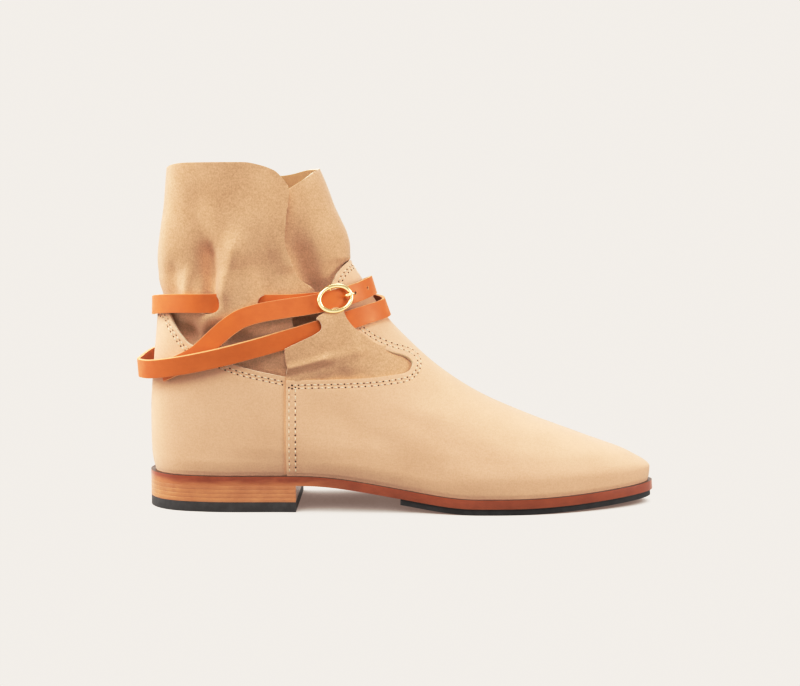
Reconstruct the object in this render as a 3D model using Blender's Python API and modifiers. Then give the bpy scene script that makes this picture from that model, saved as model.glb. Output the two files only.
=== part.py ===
"""Right ankle boot in suede: soft wrapped shaft, one long buckled strap, leather sole and stacked heel."""

import math
from functools import lru_cache

import bmesh
import bpy
from mathutils import Matrix, Vector

# Sizes are in millimetres. X runs from mid-length to the toe, Y to the inner side, Z up from the floor.
MM = 0.001
GAP = 0.3

# Sole and heel
OUTSOLE = 5.0
HALF_SOLE = 3.1
HEEL_LIFT = 5.4
HEEL_SEAT = 19.4
BALL_SEAT = HALF_SOLE + GAP + OUTSOLE
HEEL_STACK = HEEL_SEAT - OUTSOLE - HEEL_LIFT - 2 * GAP
WELT = 2.0
HEEL_BREAST = -57.0
HALF_SOLE_BACK = 0.0
HALF_SOLE_INSET = 2.2
ARCH_BACK = -52.0
ARCH_FRONT = 40.0
TOE_BREAK = 62.0
TOE_TIP = 139.0
TOE_SPRING = 3.9
SPRING_POWER = 1.6
INSOLE = 2.5

# Leather walls
UPPER_WALL = 2.0
COUNTER_STEP = 0.8
SHAFT_WALL = 1.5
FLAP_WALL = 1.4
LAP_GAP = 0.5
TUCK = UPPER_WALL + COUNTER_STEP + 2.0 * GAP
SIDE_SEAM = -61.5

# Strap and buckle
STRAP_WIDTH = 10.2
STRAP_THICK = 1.8
RING_LENGTH = 20.8
RING_HEIGHT = 15.6
RING_WIRE = 2.3
BAR_WIRE = 1.8
PRONG_WIRE = 1.5
PRONG_HOLE = 3.8
BUCKLE_TURN = 130.0
BUCKLE_HEIGHT = 114.0
RING_STAND_OFF = 7.0
BAR_STAND_OFF = 2.4
STRAP_HOLE_LENGTH = 15.5
STRAP_HOLE_HEIGHT = 15.4

# Each section of the boot's form is a tilted ring: its back and front points, then the half-widths of the
# ellipse that fits it at seven shares of the way from back to front.
SHARES = (0.0, 0.12, 0.30, 0.50, 0.65, 0.80, 1.0)
SECTIONS = (
    # name, back_x, back_z, front_x, front_z, half-width at each share
    ("feather", -137.6, 19.7, 138.6, 13.7, 60.0, 43.5, 32.8, 33.8, 43.2, 47.8, 39.0),
    ("flank", -139.2, 29.0, 138.4, 20.5, 61.0, 45.5, 35.3, 35.4, 44.0, 47.4, 40.0),
    ("toe_top", -139.5, 38.0, 125.8, 29.0, 60.0, 45.5, 36.5, 35.0, 41.4, 45.2, 41.5),
    ("toe_back", -139.5, 47.5, 100.2, 38.6, 57.5, 45.0, 36.5, 33.6, 37.6, 42.2, 42.0),
    ("ball_top", -139.3, 57.0, 70.2, 49.7, 54.5, 44.0, 36.2, 32.6, 34.0, 38.6, 41.0),
    ("vamp", -138.7, 66.5, 44.4, 61.2, 51.0, 43.0, 36.0, 32.2, 32.4, 34.0, 36.5),
    ("instep", -137.8, 76.0, 23.0, 74.6, 48.0, 42.0, 35.6, 32.0, 31.6, 31.8, 33.0),
    ("instep_top", -137.0, 85.5, 5.5, 89.8, 45.5, 40.5, 35.2, 32.0, 31.2, 31.0, 31.5),
    ("throat", -136.0, 95.0, -9.6, 106.0, 43.0, 39.0, 34.8, 32.0, 31.0, 30.4, 30.0),
    ("tab_root", -135.2, 104.0, -19.4, 121.5, 41.0, 38.0, 34.4, 32.0, 30.8, 30.0, 29.5),
    ("tab_top", -134.6, 112.0, -28.0, 136.5, 40.0, 37.4, 34.2, 32.0, 30.6, 29.6, 29.0),
    ("ankle", -134.4, 122.0, -28.2, 143.0, 38.0, 36.0, 33.5, 31.5, 30.4, 29.6, 29.0),
    ("leg_1", -134.2, 131.5, -29.8, 150.0, 41.0, 38.2, 34.9, 33.0, 31.5, 30.5, 30.0),
    ("leg_2", -133.2, 142.0, -33.2, 157.5, 45.0, 40.5, 36.4, 34.0, 32.8, 31.6, 31.0),
    ("leg_3", -131.6, 153.0, -36.7, 165.0, 46.0, 41.5, 37.2, 35.0, 33.8, 32.4, 31.5),
    ("leg_4", -130.2, 164.0, -39.4, 172.5, 46.5, 42.0, 37.6, 35.5, 34.4, 33.0, 32.0),
    ("leg_5", -129.2, 175.5, -42.4, 180.0, 47.0, 42.2, 37.8, 35.8, 34.7, 33.2, 32.0),
    ("leg_top", -128.0, 188.0, -46.0, 188.0, 47.0, 42.2, 38.0, 36.0, 35.0, 33.5, 32.0),
)
TOP_LEVEL = len(SECTIONS) - 1
SOLE_FADE = 6.0
SWING_FADE = 8.0

# Left and right curve of the last: how far the middle line lies to the inner side at each place
SWING_PLACES = (-139.0, -60.0, 0.0, 50.0, 90.0, 139.0)
SWING = (1.0, 1.6, 2.2, 3.6, 5.2, 3.6)

# Edge of the vamp and counter round the throat and the side scoops, seen from the side
OPENING = (
    # place, x, z
    ("tab_tip", -28.2, 133.8),
    ("tab_shoulder", -34.0, 126.2),
    ("tab_waist", -38.2, 116.5),
    ("scoop_roof_back", -31.2, 103.5),
    ("scoop_roof_middle", -18.0, 92.2),
    ("scoop_roof_front", -3.4, 84.2),
    ("scoop_nose", 6.4, 78.6),
    ("scoop_floor_front", 0.9, 73.4),
    ("scoop_floor_middle", -22.0, 72.2),
    ("side_seam_vamp", -61.4, 71.6),
    ("side_seam_counter", -62.4, 73.6),
    ("counter_low", -88.8, 80.0),
    ("counter_rise", -112.0, 89.9),
    ("counter_high", -122.5, 100.0),
    ("counter_back", -130.0, 107.2),
    ("counter_top", -138.0, 107.8),
)

# The shaft is one sheet wrapped from its hidden front edge, round the leg, to the free edge of its back part
HEM_LEVEL = 5.25
TUCK_MARGIN = 3.0
TUCK_EASE = 18.0
LAP_TURN = 11.0
LAP_EASE = 20.0
LAP_LEVELS = (5.0, 7.0, 8.1, 8.8, 9.15, 9.6, 10.6, 11.9, 13.4, 14.9, 16.0, 17.0)
LAP_TURNS = (100.0, 102.0, 104.0, 116.0, 124.0, 119.0, 116.6, 114.1, 118.3, 123.2, 124.5, 124.5)
RIM_TURNS = (
    113.0, 122.0, 137.0, 159.0, 173.0, 190.0, 208.0, 245.0,
    310.0, 367.0, 410.0, 456.0, 467.0, 477.0, 485.0,
)
RIM_LEVELS = (
    14.94, 15.18, 15.80, 16.44, 16.6, 16.66, 16.68, 16.36,
    16.4, 16.75, 16.95, 16.95, 16.81, 16.5, 15.5,
)
BRIDGE_X = -86.0
BRIDGE_Z = 113.0
BRIDGE_RISE = 2.5
BRIDGE_SPREAD_X = 20.0
BRIDGE_SPREAD_Z = 17.0
STRAP_HOLES_X = (-103.0, -69.5)
STRAP_HOLES_Z = 112.8

# Route of the strap from the bar of the buckle, twice round, through the buckle and on to its tail's tip.
# A turn of 0 is the back of the boot, 90 its outer side, and the turns run down as the strap goes round.
STRAP_ROUTE = (
    # turn, height, stand_off of the inner face from the form
    (126.6, 113.5, 1.3),
    (120.0, 113.3, 1.0),
    (105.0, 112.6, 1.1),
    (97.5, 112.6, -0.4),
    (90.5, 112.7, -2.7),
    (72.5, 112.9, -2.5),
    (65.0, 113.0, -0.4),
    (57.0, 113.0, 1.1),
    (40.0, 112.6, 0.6),
    (20.0, 111.4, 0.8),
    (0.0, 110.2, 1.1),
    (-30.0, 110.1, 0.7),
    (-70.0, 111.2, 0.5),
    (-110.0, 111.8, 0.8),
    (-145.0, 110.3, 2.0),
    (-180.0, 107.9, 2.3),
    (-195.0, 107.0, 2.1),
    (-210.0, 105.8, 1.7),
    (-226.0, 103.2, 1.4),
    (-245.0, 98.9, 0.9),
    (-261.0, 94.6, 0.7),
    (-280.0, 89.2, 2.4),
    (-298.0, 84.2, 3.4),
    (-318.0, 79.7, 4.4),
    (-341.0, 76.4, 5.8),
    (-360.0, 75.6, 6.4),
    (-380.0, 77.2, 5.7),
    (-405.0, 81.5, 3.8),
    (-430.0, 87.4, 1.9),
    (-455.0, 96.0, 1.2),
    (-480.0, 106.4, 3.3),
    (-500.0, 113.8, 4.3),
    (-520.0, 118.2, 3.8),
    (-540.0, 119.9, 2.2),
    (-555.0, 119.2, 2.3),
    (-570.0, 117.2, 2.9),
    (-590.0, 113.9, 3.6),
    (-603.0, 111.6, 3.5),
    (-617.0, 109.9, 3.4),
    (-629.0, 108.0, 2.9),
    (-639.0, 105.0, 2.5),
    (-648.0, 99.7, 1.7),
    (-658.0, 92.3, 0.8),
    (-668.0, 85.0, 0.5),
    (-680.0, 79.4, 0.5),
    (-692.0, 74.9, 0.5),
)
STRAP_UPRIGHT = 0.5
STEPS_PER_ROW = 3

# Loose lower wing of the shaft's front part, from its free back edge to the nose of the scoop
FLAP = (
    # lower_x, lower_z, upper_x, upper_z, lower_stand_off, upper_stand_off, bulge
    (-61.4, 73.4, -61.4, 89.6, -0.9, 4.0, 0.4),
    (-50.0, 73.2, -50.5, 95.0, -1.2, 4.3, 0.8),
    (-40.0, 73.2, -41.0, 99.8, -1.3, 4.9, 1.1),
    (-32.0, 73.3, -31.4, 107.2, -1.3, 5.4, 1.3),
    (-26.5, 73.4, -27.2, 100.8, -1.3, 5.4, 1.1),
    (-21.0, 73.5, -23.4, 94.6, -1.3, 3.0, 1.1),
    (-11.4, 73.8, -12.5, 87.6, -1.3, -0.9, 1.3),
    (-2.0, 74.5, -3.4, 83.0, -1.3, -1.2, 0.9),
    (3.6, 76.4, 4.2, 79.2, -1.3, -1.3, 0.1),
)

# Grid fineness
UPPER_AFT = 12
UPPER_FORE = 15
UPPER_ROWS = 17
UPPER_CROWDING = 1.25
SHAFT_COLUMNS = 46
SHAFT_ROWS = 16
SOLE_STRIPS = 36
FLAP_COLUMNS = 16
FLAP_ROWS = 6

# Colours are linear: name, red, green, blue, roughness, metallic
FINISHES = {
    "suede": (0.74, 0.50, 0.30, 0.95, 0.0),
    "strap_leather": (0.62, 0.17, 0.045, 0.45, 0.0),
    "sole_leather": (0.27, 0.075, 0.035, 0.40, 0.0),
    "heel_leather": (0.46, 0.20, 0.085, 0.50, 0.0),
    "rubber": (0.030, 0.026, 0.024, 0.70, 0.0),
    "insole_leather": (0.60, 0.38, 0.20, 0.70, 0.0),
    "gold_metal": (0.80, 0.56, 0.22, 0.22, 1.0),
}


def ease(share):
    """Soft step from 0 to 1."""
    share = min(max(share, 0.0), 1.0)
    return share * share * (3.0 - 2.0 * share)


def through(stations, values, place):
    """Value at a place on the smooth curve through the values, which never overshoots them."""
    last = len(stations) - 1
    place = min(max(place, stations[0]), stations[last])
    left = max(i for i in range(last) if stations[i] <= place)

    def slope(i):
        return (values[i + 1] - values[i]) / (stations[i + 1] - stations[i])

    def tangent(i):
        if i == 0:
            return slope(0)
        if i == last:
            return slope(last - 1)
        before = slope(i - 1)
        after = slope(i)
        if before * after <= 0.0:
            return 0.0
        span_before = stations[i] - stations[i - 1]
        span_after = stations[i + 1] - stations[i]
        weight_before = 2.0 * span_after + span_before
        weight_after = span_after + 2.0 * span_before
        return (weight_before + weight_after) / (weight_before / before + weight_after / after)

    span = stations[left + 1] - stations[left]
    share = (place - stations[left]) / span
    start = tangent(left) * span
    end = tangent(left + 1) * span
    rise = values[left + 1] - values[left]
    bend = 3.0 * rise - 2.0 * start - end + share * (start + end - 2.0 * rise)
    return values[left] + share * (start + share * bend)


def along_rows(rows, column, place):
    """Value of one column at a place counted in rows."""
    return through(range(len(rows)), [row[column] for row in rows], place)


def sole_line(x):
    """Height of the outsole's top: level heel seat, arch, flat ball, toe spring."""
    height = HEEL_SEAT - (HEEL_SEAT - BALL_SEAT) * ease((x - ARCH_BACK) / (ARCH_FRONT - ARCH_BACK))
    if x > TOE_BREAK:
        height += TOE_SPRING * ((x - TOE_BREAK) / (TOE_TIP - TOE_BREAK)) ** SPRING_POWER
    return height


@lru_cache(maxsize=None)
def section(level):
    """Back point, front point and half-widths of the form's ring at a level counted in sections."""
    values = [along_rows(SECTIONS, column, level) for column in range(1, len(SECTIONS[0]))]
    return values[:4], values[4:]


def form_point(level, turn):
    """Point of the boot's outer form: turn 0 is the back, 90 the outer side, 180 the front, 270 the inner."""
    (back_x, back_z, front_x, front_z), widths = section(level)
    angle = math.radians(turn)
    share = 0.5 * (1.0 - math.cos(angle))
    x = back_x + (front_x - back_x) * share
    _, foot_back_z, _, foot_front_z = SECTIONS[0][1:5]
    foot_share = (x - SECTIONS[0][1]) / (SECTIONS[0][3] - SECTIONS[0][1])
    foot_chord = foot_back_z + (foot_front_z - foot_back_z) * foot_share
    fade = max(0.0, 1.0 - level / SOLE_FADE) ** 2
    z = back_z + (front_z - back_z) * share + (sole_line(x) + GAP - foot_chord) * fade
    middle = through(SWING_PLACES, SWING, x) * max(0.0, 1.0 - level / SWING_FADE)
    return Vector((x, middle - through(SHARES, widths, share) * math.sin(angle), z))


def form_normal(level, turn):
    """Outward direction of the form."""
    step = 0.02
    low = max(level - step, 0.0)
    high = min(level + step, TOP_LEVEL)
    up = form_point(high, turn) - form_point(low, turn)
    round_it = form_point(level, turn + 0.5) - form_point(level, turn - 0.5)
    return round_it.cross(up).normalized()


def off_form(level, turn, stand_off):
    """Point that stands off the form."""
    return form_point(level, turn) + form_normal(level, turn) * stand_off


def level_of(turn, height):
    """Level at which the form reaches a height at this turn."""
    low = 0.0
    high = float(TOP_LEVEL)
    for _ in range(40):
        middle = 0.5 * (low + high)
        if form_point(middle, turn).z < height:
            low = middle
        else:
            high = middle
    return low


def outer_side(x, z):
    """Level and turn of the outer side's point that is seen at x and z from the side."""
    low = 0.0
    high = float(TOP_LEVEL)
    turn = 90.0
    for _ in range(40):
        middle = 0.5 * (low + high)
        (back_x, _, front_x, _), _ = section(middle)
        share = (x - back_x) / (front_x - back_x)
        if share >= 1.0:
            high = middle
            continue
        turn = math.degrees(math.acos(1.0 - 2.0 * max(share, 0.0)))
        if form_point(middle, turn).z < z:
            low = middle
        else:
            high = middle
    return low, turn


def smooth_path(points, steps):
    """Points on the smooth curve through 2D points, with the ends kept."""
    path = []
    for i in range(len(points) - 1):
        before = Vector(points[max(i - 1, 0)])
        start = Vector(points[i])
        end = Vector(points[i + 1])
        after = Vector(points[min(i + 2, len(points) - 1)])
        for k in range(steps):
            s = k / steps
            pull = 0.5 * (end - before)
            push = 0.5 * (after - start)
            rise = end - start
            path.append(start + s * (pull + s * (3 * rise - 2 * pull - push + s * (pull + push - 2 * rise))))
    path.append(Vector(points[-1]))
    return path


def clear_scene():
    for old in list(bpy.data.objects):
        bpy.data.objects.remove(old, do_unlink=True)


def new_collection(name):
    made = bpy.data.collections.new(name)
    bpy.context.scene.collection.children.link(made)
    return made


def new_material(name, values):
    red, green, blue, roughness, metallic = values
    made = bpy.data.materials.new(name)
    made.use_nodes = True
    shader = made.node_tree.nodes["Principled BSDF"]
    shader.inputs["Base Color"].default_value = (red, green, blue, 1.0)
    shader.inputs["Roughness"].default_value = roughness
    shader.inputs["Metallic"].default_value = metallic
    made.diffuse_color = (red, green, blue, 1.0)
    return made


def add_part(name, mesh, finish):
    part = bpy.data.objects.new(name, mesh)
    part.data.materials.append(MATERIALS[finish])
    PARTS.objects.link(part)
    part.parent = ROOT
    return part


def add_cutter(name, mesh):
    cutter = bpy.data.objects.new(name, mesh)
    CUTTERS.objects.link(cutter)
    cutter.parent = ROOT
    cutter.hide_render = True
    cutter.display_type = "WIRE"
    return cutter


def sheet(name, columns, rows, place):
    """Open grid mesh with its points placed by shares along and across; points that meet are welded."""
    grid = bmesh.new()
    bmesh.ops.create_grid(grid, x_segments=columns, y_segments=rows, size=0.5)
    for vertex in grid.verts:
        vertex.co = place(vertex.co.x + 0.5, vertex.co.y + 0.5) * MM
    bmesh.ops.remove_doubles(grid, verts=grid.verts, dist=0.02 * MM)
    mesh = bpy.data.meshes.new(name)
    grid.to_mesh(mesh)
    grid.free()
    return mesh


def thicken(part, thickness, offset):
    wall = part.modifiers.new("wall", "SOLIDIFY")
    wall.thickness = thickness * MM
    wall.offset = offset
    wall.use_even_offset = False


def soften(part, width):
    edge = part.modifiers.new("edge", "BEVEL")
    edge.width = width * MM
    edge.segments = 1
    edge.limit_method = "ANGLE"
    edge.angle_limit = math.radians(50.0)


def cut(part, cutter):
    hole = part.modifiers.new(cutter.name, "BOOLEAN")
    hole.operation = "DIFFERENCE"
    hole.solver = "EXACT"
    hole.object = cutter


def curve_mesh(name, curve):
    """Closed mesh of a curve, with its caps welded on."""
    holder = bpy.data.objects.new(name, curve)
    bpy.context.scene.collection.objects.link(holder)
    graph = bpy.context.evaluated_depsgraph_get()
    mesh = bpy.data.meshes.new_from_object(holder.evaluated_get(graph))
    mesh.name = name
    bpy.data.objects.remove(holder, do_unlink=True)
    body = bmesh.new()
    body.from_mesh(mesh)
    bmesh.ops.remove_doubles(body, verts=body.verts, dist=0.005 * MM)
    bmesh.ops.recalc_face_normals(body, faces=body.faces)
    body.to_mesh(mesh)
    body.free()
    return mesh


def new_curve(name, points, closed, dimensions):
    curve = bpy.data.curves.new(name, "CURVE")
    curve.dimensions = dimensions
    line = curve.splines.new("POLY")
    line.points.add(len(points) - 1)
    for knot, point in zip(line.points, points):
        knot.co = (point[0] * MM, point[1] * MM, point[2] * MM, 1.0)
    line.use_cyclic_u = closed
    return curve


def rod_mesh(name, points, wire, closed=False):
    """Round wire along a path."""
    curve = new_curve(name, points, closed, "3D")
    curve.bevel_depth = 0.5 * wire * MM
    curve.bevel_resolution = 2
    curve.use_fill_caps = True
    return curve_mesh(name, curve)


def side_cutter(name, outline, near_y, far_y):
    """Prism that cuts from the side: its outline is in X and Z."""
    curve = new_curve(name, [(x, z, 0.0) for x, z in outline], True, "2D")
    curve.fill_mode = "BOTH"
    curve.extrude = 0.5 * abs(far_y - near_y) * MM
    cutter = add_cutter(name, curve_mesh(name, curve))
    cutter.rotation_euler = (math.radians(90.0), 0.0, 0.0)
    cutter.location.y = 0.5 * (near_y + far_y) * MM
    return cutter


def feather(turn, margin):
    """Point of the foot's outline in plan, moved out by a margin."""
    place = form_point(0.0, turn)
    along = form_point(0.0, turn + 0.5) - form_point(0.0, turn - 0.5)
    outward = Vector((along.y, -along.x, 0.0)).normalized()
    return place + outward * margin


def turn_at(x, margin):
    """Turn on the outer side at which the sole's outline reaches x."""
    low = 0.0
    high = 180.0
    for _ in range(40):
        middle = 0.5 * (low + high)
        if feather(middle, margin).x < x:
            low = middle
        else:
            high = middle
    return low


def foot_sheet(name, first_turn, last_turn, margin, lift, strips=SOLE_STRIPS):
    """Sheet across the foot between two turns that follows the sole's line at a lift above it."""

    def place(along, across):
        turn = first_turn + (last_turn - first_turn) * along
        outer = feather(turn, margin)
        inner = feather(-turn, margin)
        point = outer.lerp(inner, across)
        point.z = sole_line(point.x) + lift
        return point

    return sheet(name, strips, 2, place)


def build_soles():
    outsole = add_part("outsole", foot_sheet("outsole", 0.0, 180.0, WELT, 0.0), "sole_leather")
    thicken(outsole, OUTSOLE, -1.0)
    soften(outsole, 0.7)

    breast = turn_at(HEEL_BREAST, WELT)
    stack_top = -OUTSOLE - GAP
    stack_sheet = foot_sheet("heel_stack", 0.0, breast, WELT, stack_top, 14)
    heel_stack = add_part("heel_stack", stack_sheet, "heel_leather")
    thicken(heel_stack, HEEL_STACK, -1.0)
    lift_top = stack_top - HEEL_STACK - GAP
    lift_sheet = foot_sheet("heel_lift", 0.0, breast, WELT - 0.2, lift_top, 14)
    heel_lift = add_part("heel_lift", lift_sheet, "rubber")
    thicken(heel_lift, HEEL_LIFT, -1.0)

    margin = WELT - HALF_SOLE_INSET
    start = turn_at(HALF_SOLE_BACK, margin)
    half_sheet = foot_sheet("half_sole", start, 180.0, margin, -OUTSOLE - GAP, 28)
    half_sole = add_part("half_sole", half_sheet, "rubber")
    thicken(half_sole, HALF_SOLE, -1.0)

    inset = -(UPPER_WALL + COUNTER_STEP + 2.0 * GAP)
    insole = add_part("insole", foot_sheet("insole", 0.0, 180.0, inset, GAP + INSOLE), "insole_leather")
    thicken(insole, INSOLE, -1.0)


def build_upper():
    """Vamp and counter in one wall, with a step where the vamp laps over the counter at each side seam."""
    half = UPPER_AFT + 1 + UPPER_FORE
    step_turn = 0.7

    def place(along, up):
        level = 10.0 * up ** UPPER_CROWDING
        column = round(along * 2 * half)
        on_side = min(column, 2 * half - column)
        (back_x, _, front_x, _), _ = section(level)
        seam_share = (SIDE_SEAM - back_x) / (front_x - back_x)
        seam = math.degrees(math.acos(1.0 - 2.0 * seam_share))
        if on_side <= UPPER_AFT:
            turn = seam * on_side / UPPER_AFT
            stand_off = -COUNTER_STEP
        else:
            fore_share = (on_side - UPPER_AFT - 1) / UPPER_FORE
            turn = seam + step_turn + (180.0 - seam - step_turn) * fore_share
            stand_off = 0.0
        return off_form(level, turn if column <= half else 360.0 - turn, stand_off)

    upper = add_part("upper", sheet("upper", 2 * half, UPPER_ROWS, place), "suede")
    thicken(upper, UPPER_WALL, -1.0)
    corners = [
        Vector((-155.0, 108.0)),
        Vector((-155.0, 155.0)),
        Vector((-15.0, 155.0)),
        Vector((-15.0, 141.0)),
    ]
    cut(upper, side_cutter("throat_cutter", opening_edge() + corners, -70.0, 70.0))


@lru_cache(maxsize=None)
def opening_edge():
    """Smooth line of the upper's edge, from the tip of the tab to the top of the counter at the back."""
    edge = [(x, z) for _, x, z in OPENING]
    seam = [name for name, _, _ in OPENING].index("side_seam_counter")
    return smooth_path(edge[:seam], 4) + smooth_path(edge[seam:], 4)


def distance_to_line(here, start, end):
    """Distance in the side view from a place to a straight piece of line."""
    along = end - start
    share = min(max((here - start).dot(along) / along.length_squared, 0.0), 1.0)
    return (here - start - share * along).length


def inside_opening(x, z):
    """How far a place seen from the side lies inside the opening; negative under the vamp or counter."""
    here = Vector((x, z))
    edge = opening_edge()
    nearest = min(distance_to_line(here, start, end) for start, end in zip(edge, edge[1:]))
    ring = [Vector((-300.0, 108.0)), Vector((-300.0, 400.0)), Vector((200.0, 400.0)), Vector((200.0, 141.0))]
    outline = edge + ring
    crossings = 0
    for start, end in zip(outline, outline[1:] + outline[:1]):
        if (start.y > z) != (end.y > z):
            crossings += x < start.x + (end.x - start.x) * (z - start.y) / (end.y - start.y)
    return nearest if crossings % 2 else -nearest


def lap_turn(level):
    """Turn at which the back part of the shaft ends, over its front part."""
    return through(LAP_LEVELS, LAP_TURNS, level)


def shaft_point(level, turn):
    """Outer face of the shaft; a turn past 360 belongs to the lapping back part."""
    place = form_point(level, turn)
    tucked = TUCK * (1.0 - ease((inside_opening(place.x, place.z) - TUCK_MARGIN) / TUCK_EASE))
    under = 0.0
    if turn < 180.0:
        under = (SHAFT_WALL + LAP_GAP) * (1.0 - ease((turn - lap_turn(level) - 1.0) / LAP_EASE))
    rise = 0.0
    if place.y < 0.0:
        away = ((place.x - BRIDGE_X) / BRIDGE_SPREAD_X) ** 2 + ((place.z - BRIDGE_Z) / BRIDGE_SPREAD_Z) ** 2
        rise = BRIDGE_RISE * math.exp(-away)
    return off_form(level, turn, rise - tucked - under)


def build_shaft():
    first_rim = RIM_TURNS[0]
    last_rim = RIM_TURNS[-1]

    def place(along, up):
        rim_turn = first_rim + (last_rim - first_rim) * along
        rim = through(RIM_TURNS, RIM_LEVELS, rim_turn)
        level = HEM_LEVEL + (rim - HEM_LEVEL) * up
        start = lap_turn(level) - LAP_TURN
        end = 360.0 + lap_turn(level)
        return shaft_point(level, start + (end - start) * along)

    shaft = add_part("shaft", sheet("shaft", SHAFT_COLUMNS, SHAFT_ROWS, place), "suede")
    thicken(shaft, SHAFT_WALL, -1.0)
    for number, hole_x in enumerate(STRAP_HOLES_X, 1):
        oval = []
        for k in range(18):
            angle = math.tau * k / 18
            x = hole_x + 0.5 * STRAP_HOLE_LENGTH * math.cos(angle)
            oval.append((x, STRAP_HOLES_Z + 0.5 * STRAP_HOLE_HEIGHT * math.sin(angle)))
        cut(shaft, side_cutter(f"strap_hole_cutter_{number}", oval, -60.0, -10.0))


def build_flap():
    last = len(FLAP) - 1

    def place(along, up):
        row = along * last
        lower_x, lower_z, upper_x, upper_z, lower_off, upper_off, bulge = (
            along_rows(FLAP, column, row) for column in range(7)
        )
        x = lower_x + (upper_x - lower_x) * up
        z = lower_z + (upper_z - lower_z) * up
        stand_off = lower_off + (upper_off - lower_off) * ease(1.25 * up) + bulge * math.sin(math.pi * up)
        level, turn = outer_side(x, z)
        return off_form(level, turn, stand_off)

    flap = add_part("flap", sheet("flap", FLAP_COLUMNS, FLAP_ROWS, place), "suede")
    thicken(flap, FLAP_WALL, -1.0)


def strap_station(row):
    """Point on the inner face of the strap's middle line, and the outward direction there."""
    turn, height, stand_off = (along_rows(STRAP_ROUTE, column, row) for column in range(3))
    level = level_of(turn, height)
    outward = form_normal(level, turn)
    outward.z *= STRAP_UPRIGHT
    return off_form(level, turn, stand_off), outward.normalized()


def strap_frame(row):
    """Point, direction of travel, downward width direction and outward direction of the strap."""
    last = len(STRAP_ROUTE) - 1
    place, outward = strap_station(row)
    ahead = strap_station(min(row + 0.15, last))[0] - strap_station(max(row - 0.15, 0))[0]
    ahead.normalize()
    down = outward.cross(ahead).normalized()
    return place, ahead, down, outward


def buckle_matrix():
    """Frame of the buckle: X along the strap to the front, Y up across it, Z outward."""
    _, _, down, outward = strap_frame(BUCKLE_ROW)
    level = level_of(BUCKLE_TURN, BUCKLE_HEIGHT)
    centre = off_form(level, BUCKLE_TURN, RING_STAND_OFF) * MM
    up = -down
    forward = up.cross(outward).normalized()
    frame = Matrix((forward, up, outward)).transposed().to_4x4()
    frame.translation = centre
    return frame


BUCKLE_ROW = next(i for i, row in enumerate(STRAP_ROUTE) if row[0] == BUCKLE_TURN - 720.0)


def build_strap():
    last = len(STRAP_ROUTE) - 1

    def place(along, across):
        point, _, down, _ = strap_frame(along * last)
        return point + down * (STRAP_WIDTH * (across - 0.5))

    strap = add_part("strap", sheet("strap", last * STEPS_PER_ROW, 1, place), "strap_leather")
    thicken(strap, STRAP_THICK, 1.0)
    punch = bmesh.new()
    bmesh.ops.create_cone(
        punch,
        segments=12,
        radius1=0.5 * PRONG_HOLE * MM,
        radius2=0.5 * PRONG_HOLE * MM,
        depth=6.0 * MM,
        cap_ends=True,
    )
    mesh = bpy.data.meshes.new("prong_hole_cutter")
    punch.to_mesh(mesh)
    punch.free()
    cutter = add_cutter("prong_hole_cutter", mesh)
    cutter.matrix_basis = buckle_matrix() @ Matrix.Translation((3.4 * MM, 0.0, -1.6 * MM))
    cut(strap, cutter)


def build_buckle():
    half_length = 0.5 * (RING_LENGTH - RING_WIRE)
    half_height = 0.5 * (RING_HEIGHT - RING_WIRE)
    oval = []
    for k in range(36):
        angle = math.tau * k / 36
        oval.append((half_length * math.cos(angle), half_height * math.sin(angle), 0.0))
    ring = add_part("buckle_frame", rod_mesh("buckle_frame", oval, RING_WIRE, closed=True), "gold_metal")
    ring.matrix_basis = buckle_matrix()

    depth = BAR_STAND_OFF - RING_STAND_OFF
    corner = 0.8
    post = half_height + 0.35
    bar_path = [
        (0.0, post, 0.2),
        (0.0, post, depth + corner),
        (0.0, post - corner, depth),
        (0.0, corner - post, depth),
        (0.0, -post, depth + corner),
        (0.0, -post, 0.2),
    ]
    bar = add_cutter("buckle_bar", rod_mesh("buckle_bar", bar_path, BAR_WIRE))
    bar.matrix_basis = buckle_matrix()
    join = ring.modifiers.new("bar", "BOOLEAN")
    join.operation = "UNION"
    join.solver = "EXACT"
    join.object = bar

    prong_path = [
        (2.1, 0.0, depth - 0.1),
        (3.0, 0.0, depth + 0.6),
        (3.5, 0.0, depth + 1.9),
        (4.0, 0.0, depth + 3.3),
        (5.4, 0.0, 1.0),
        (half_length, 0.0, 2.3),
        (half_length + 1.5, 0.0, 2.2),
    ]
    prong = add_part("buckle_prong", rod_mesh("buckle_prong", prong_path, PRONG_WIRE), "gold_metal")
    prong.matrix_basis = buckle_matrix()


def stand_on_origin():
    """Move the whole boot so that its footprint box is centred on the origin and it stands on the floor."""
    bpy.context.view_layer.update()
    graph = bpy.context.evaluated_depsgraph_get()
    points = []
    for part in PARTS.objects:
        shown = part.evaluated_get(graph)
        points += [shown.matrix_world @ vertex.co for vertex in shown.data.vertices]
    for axis in (0, 1):
        values = [point[axis] for point in points]
        ROOT.location[axis] = -0.5 * (min(values) + max(values))
    ROOT.location.z = -min(point.z for point in points)


clear_scene()
PARTS = new_collection("ankle_boot")
CUTTERS = new_collection("cutters")
MATERIALS = {name: new_material(name, values) for name, values in FINISHES.items()}
ROOT = bpy.data.objects.new("ankle_boot_root", None)
bpy.context.scene.collection.objects.link(ROOT)
build_soles()
build_upper()
build_shaft()
build_flap()
build_strap()
build_buckle()
stand_on_origin()
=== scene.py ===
import math

import bmesh
import bpy
import numpy as np
from mathutils import Matrix, Vector

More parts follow.
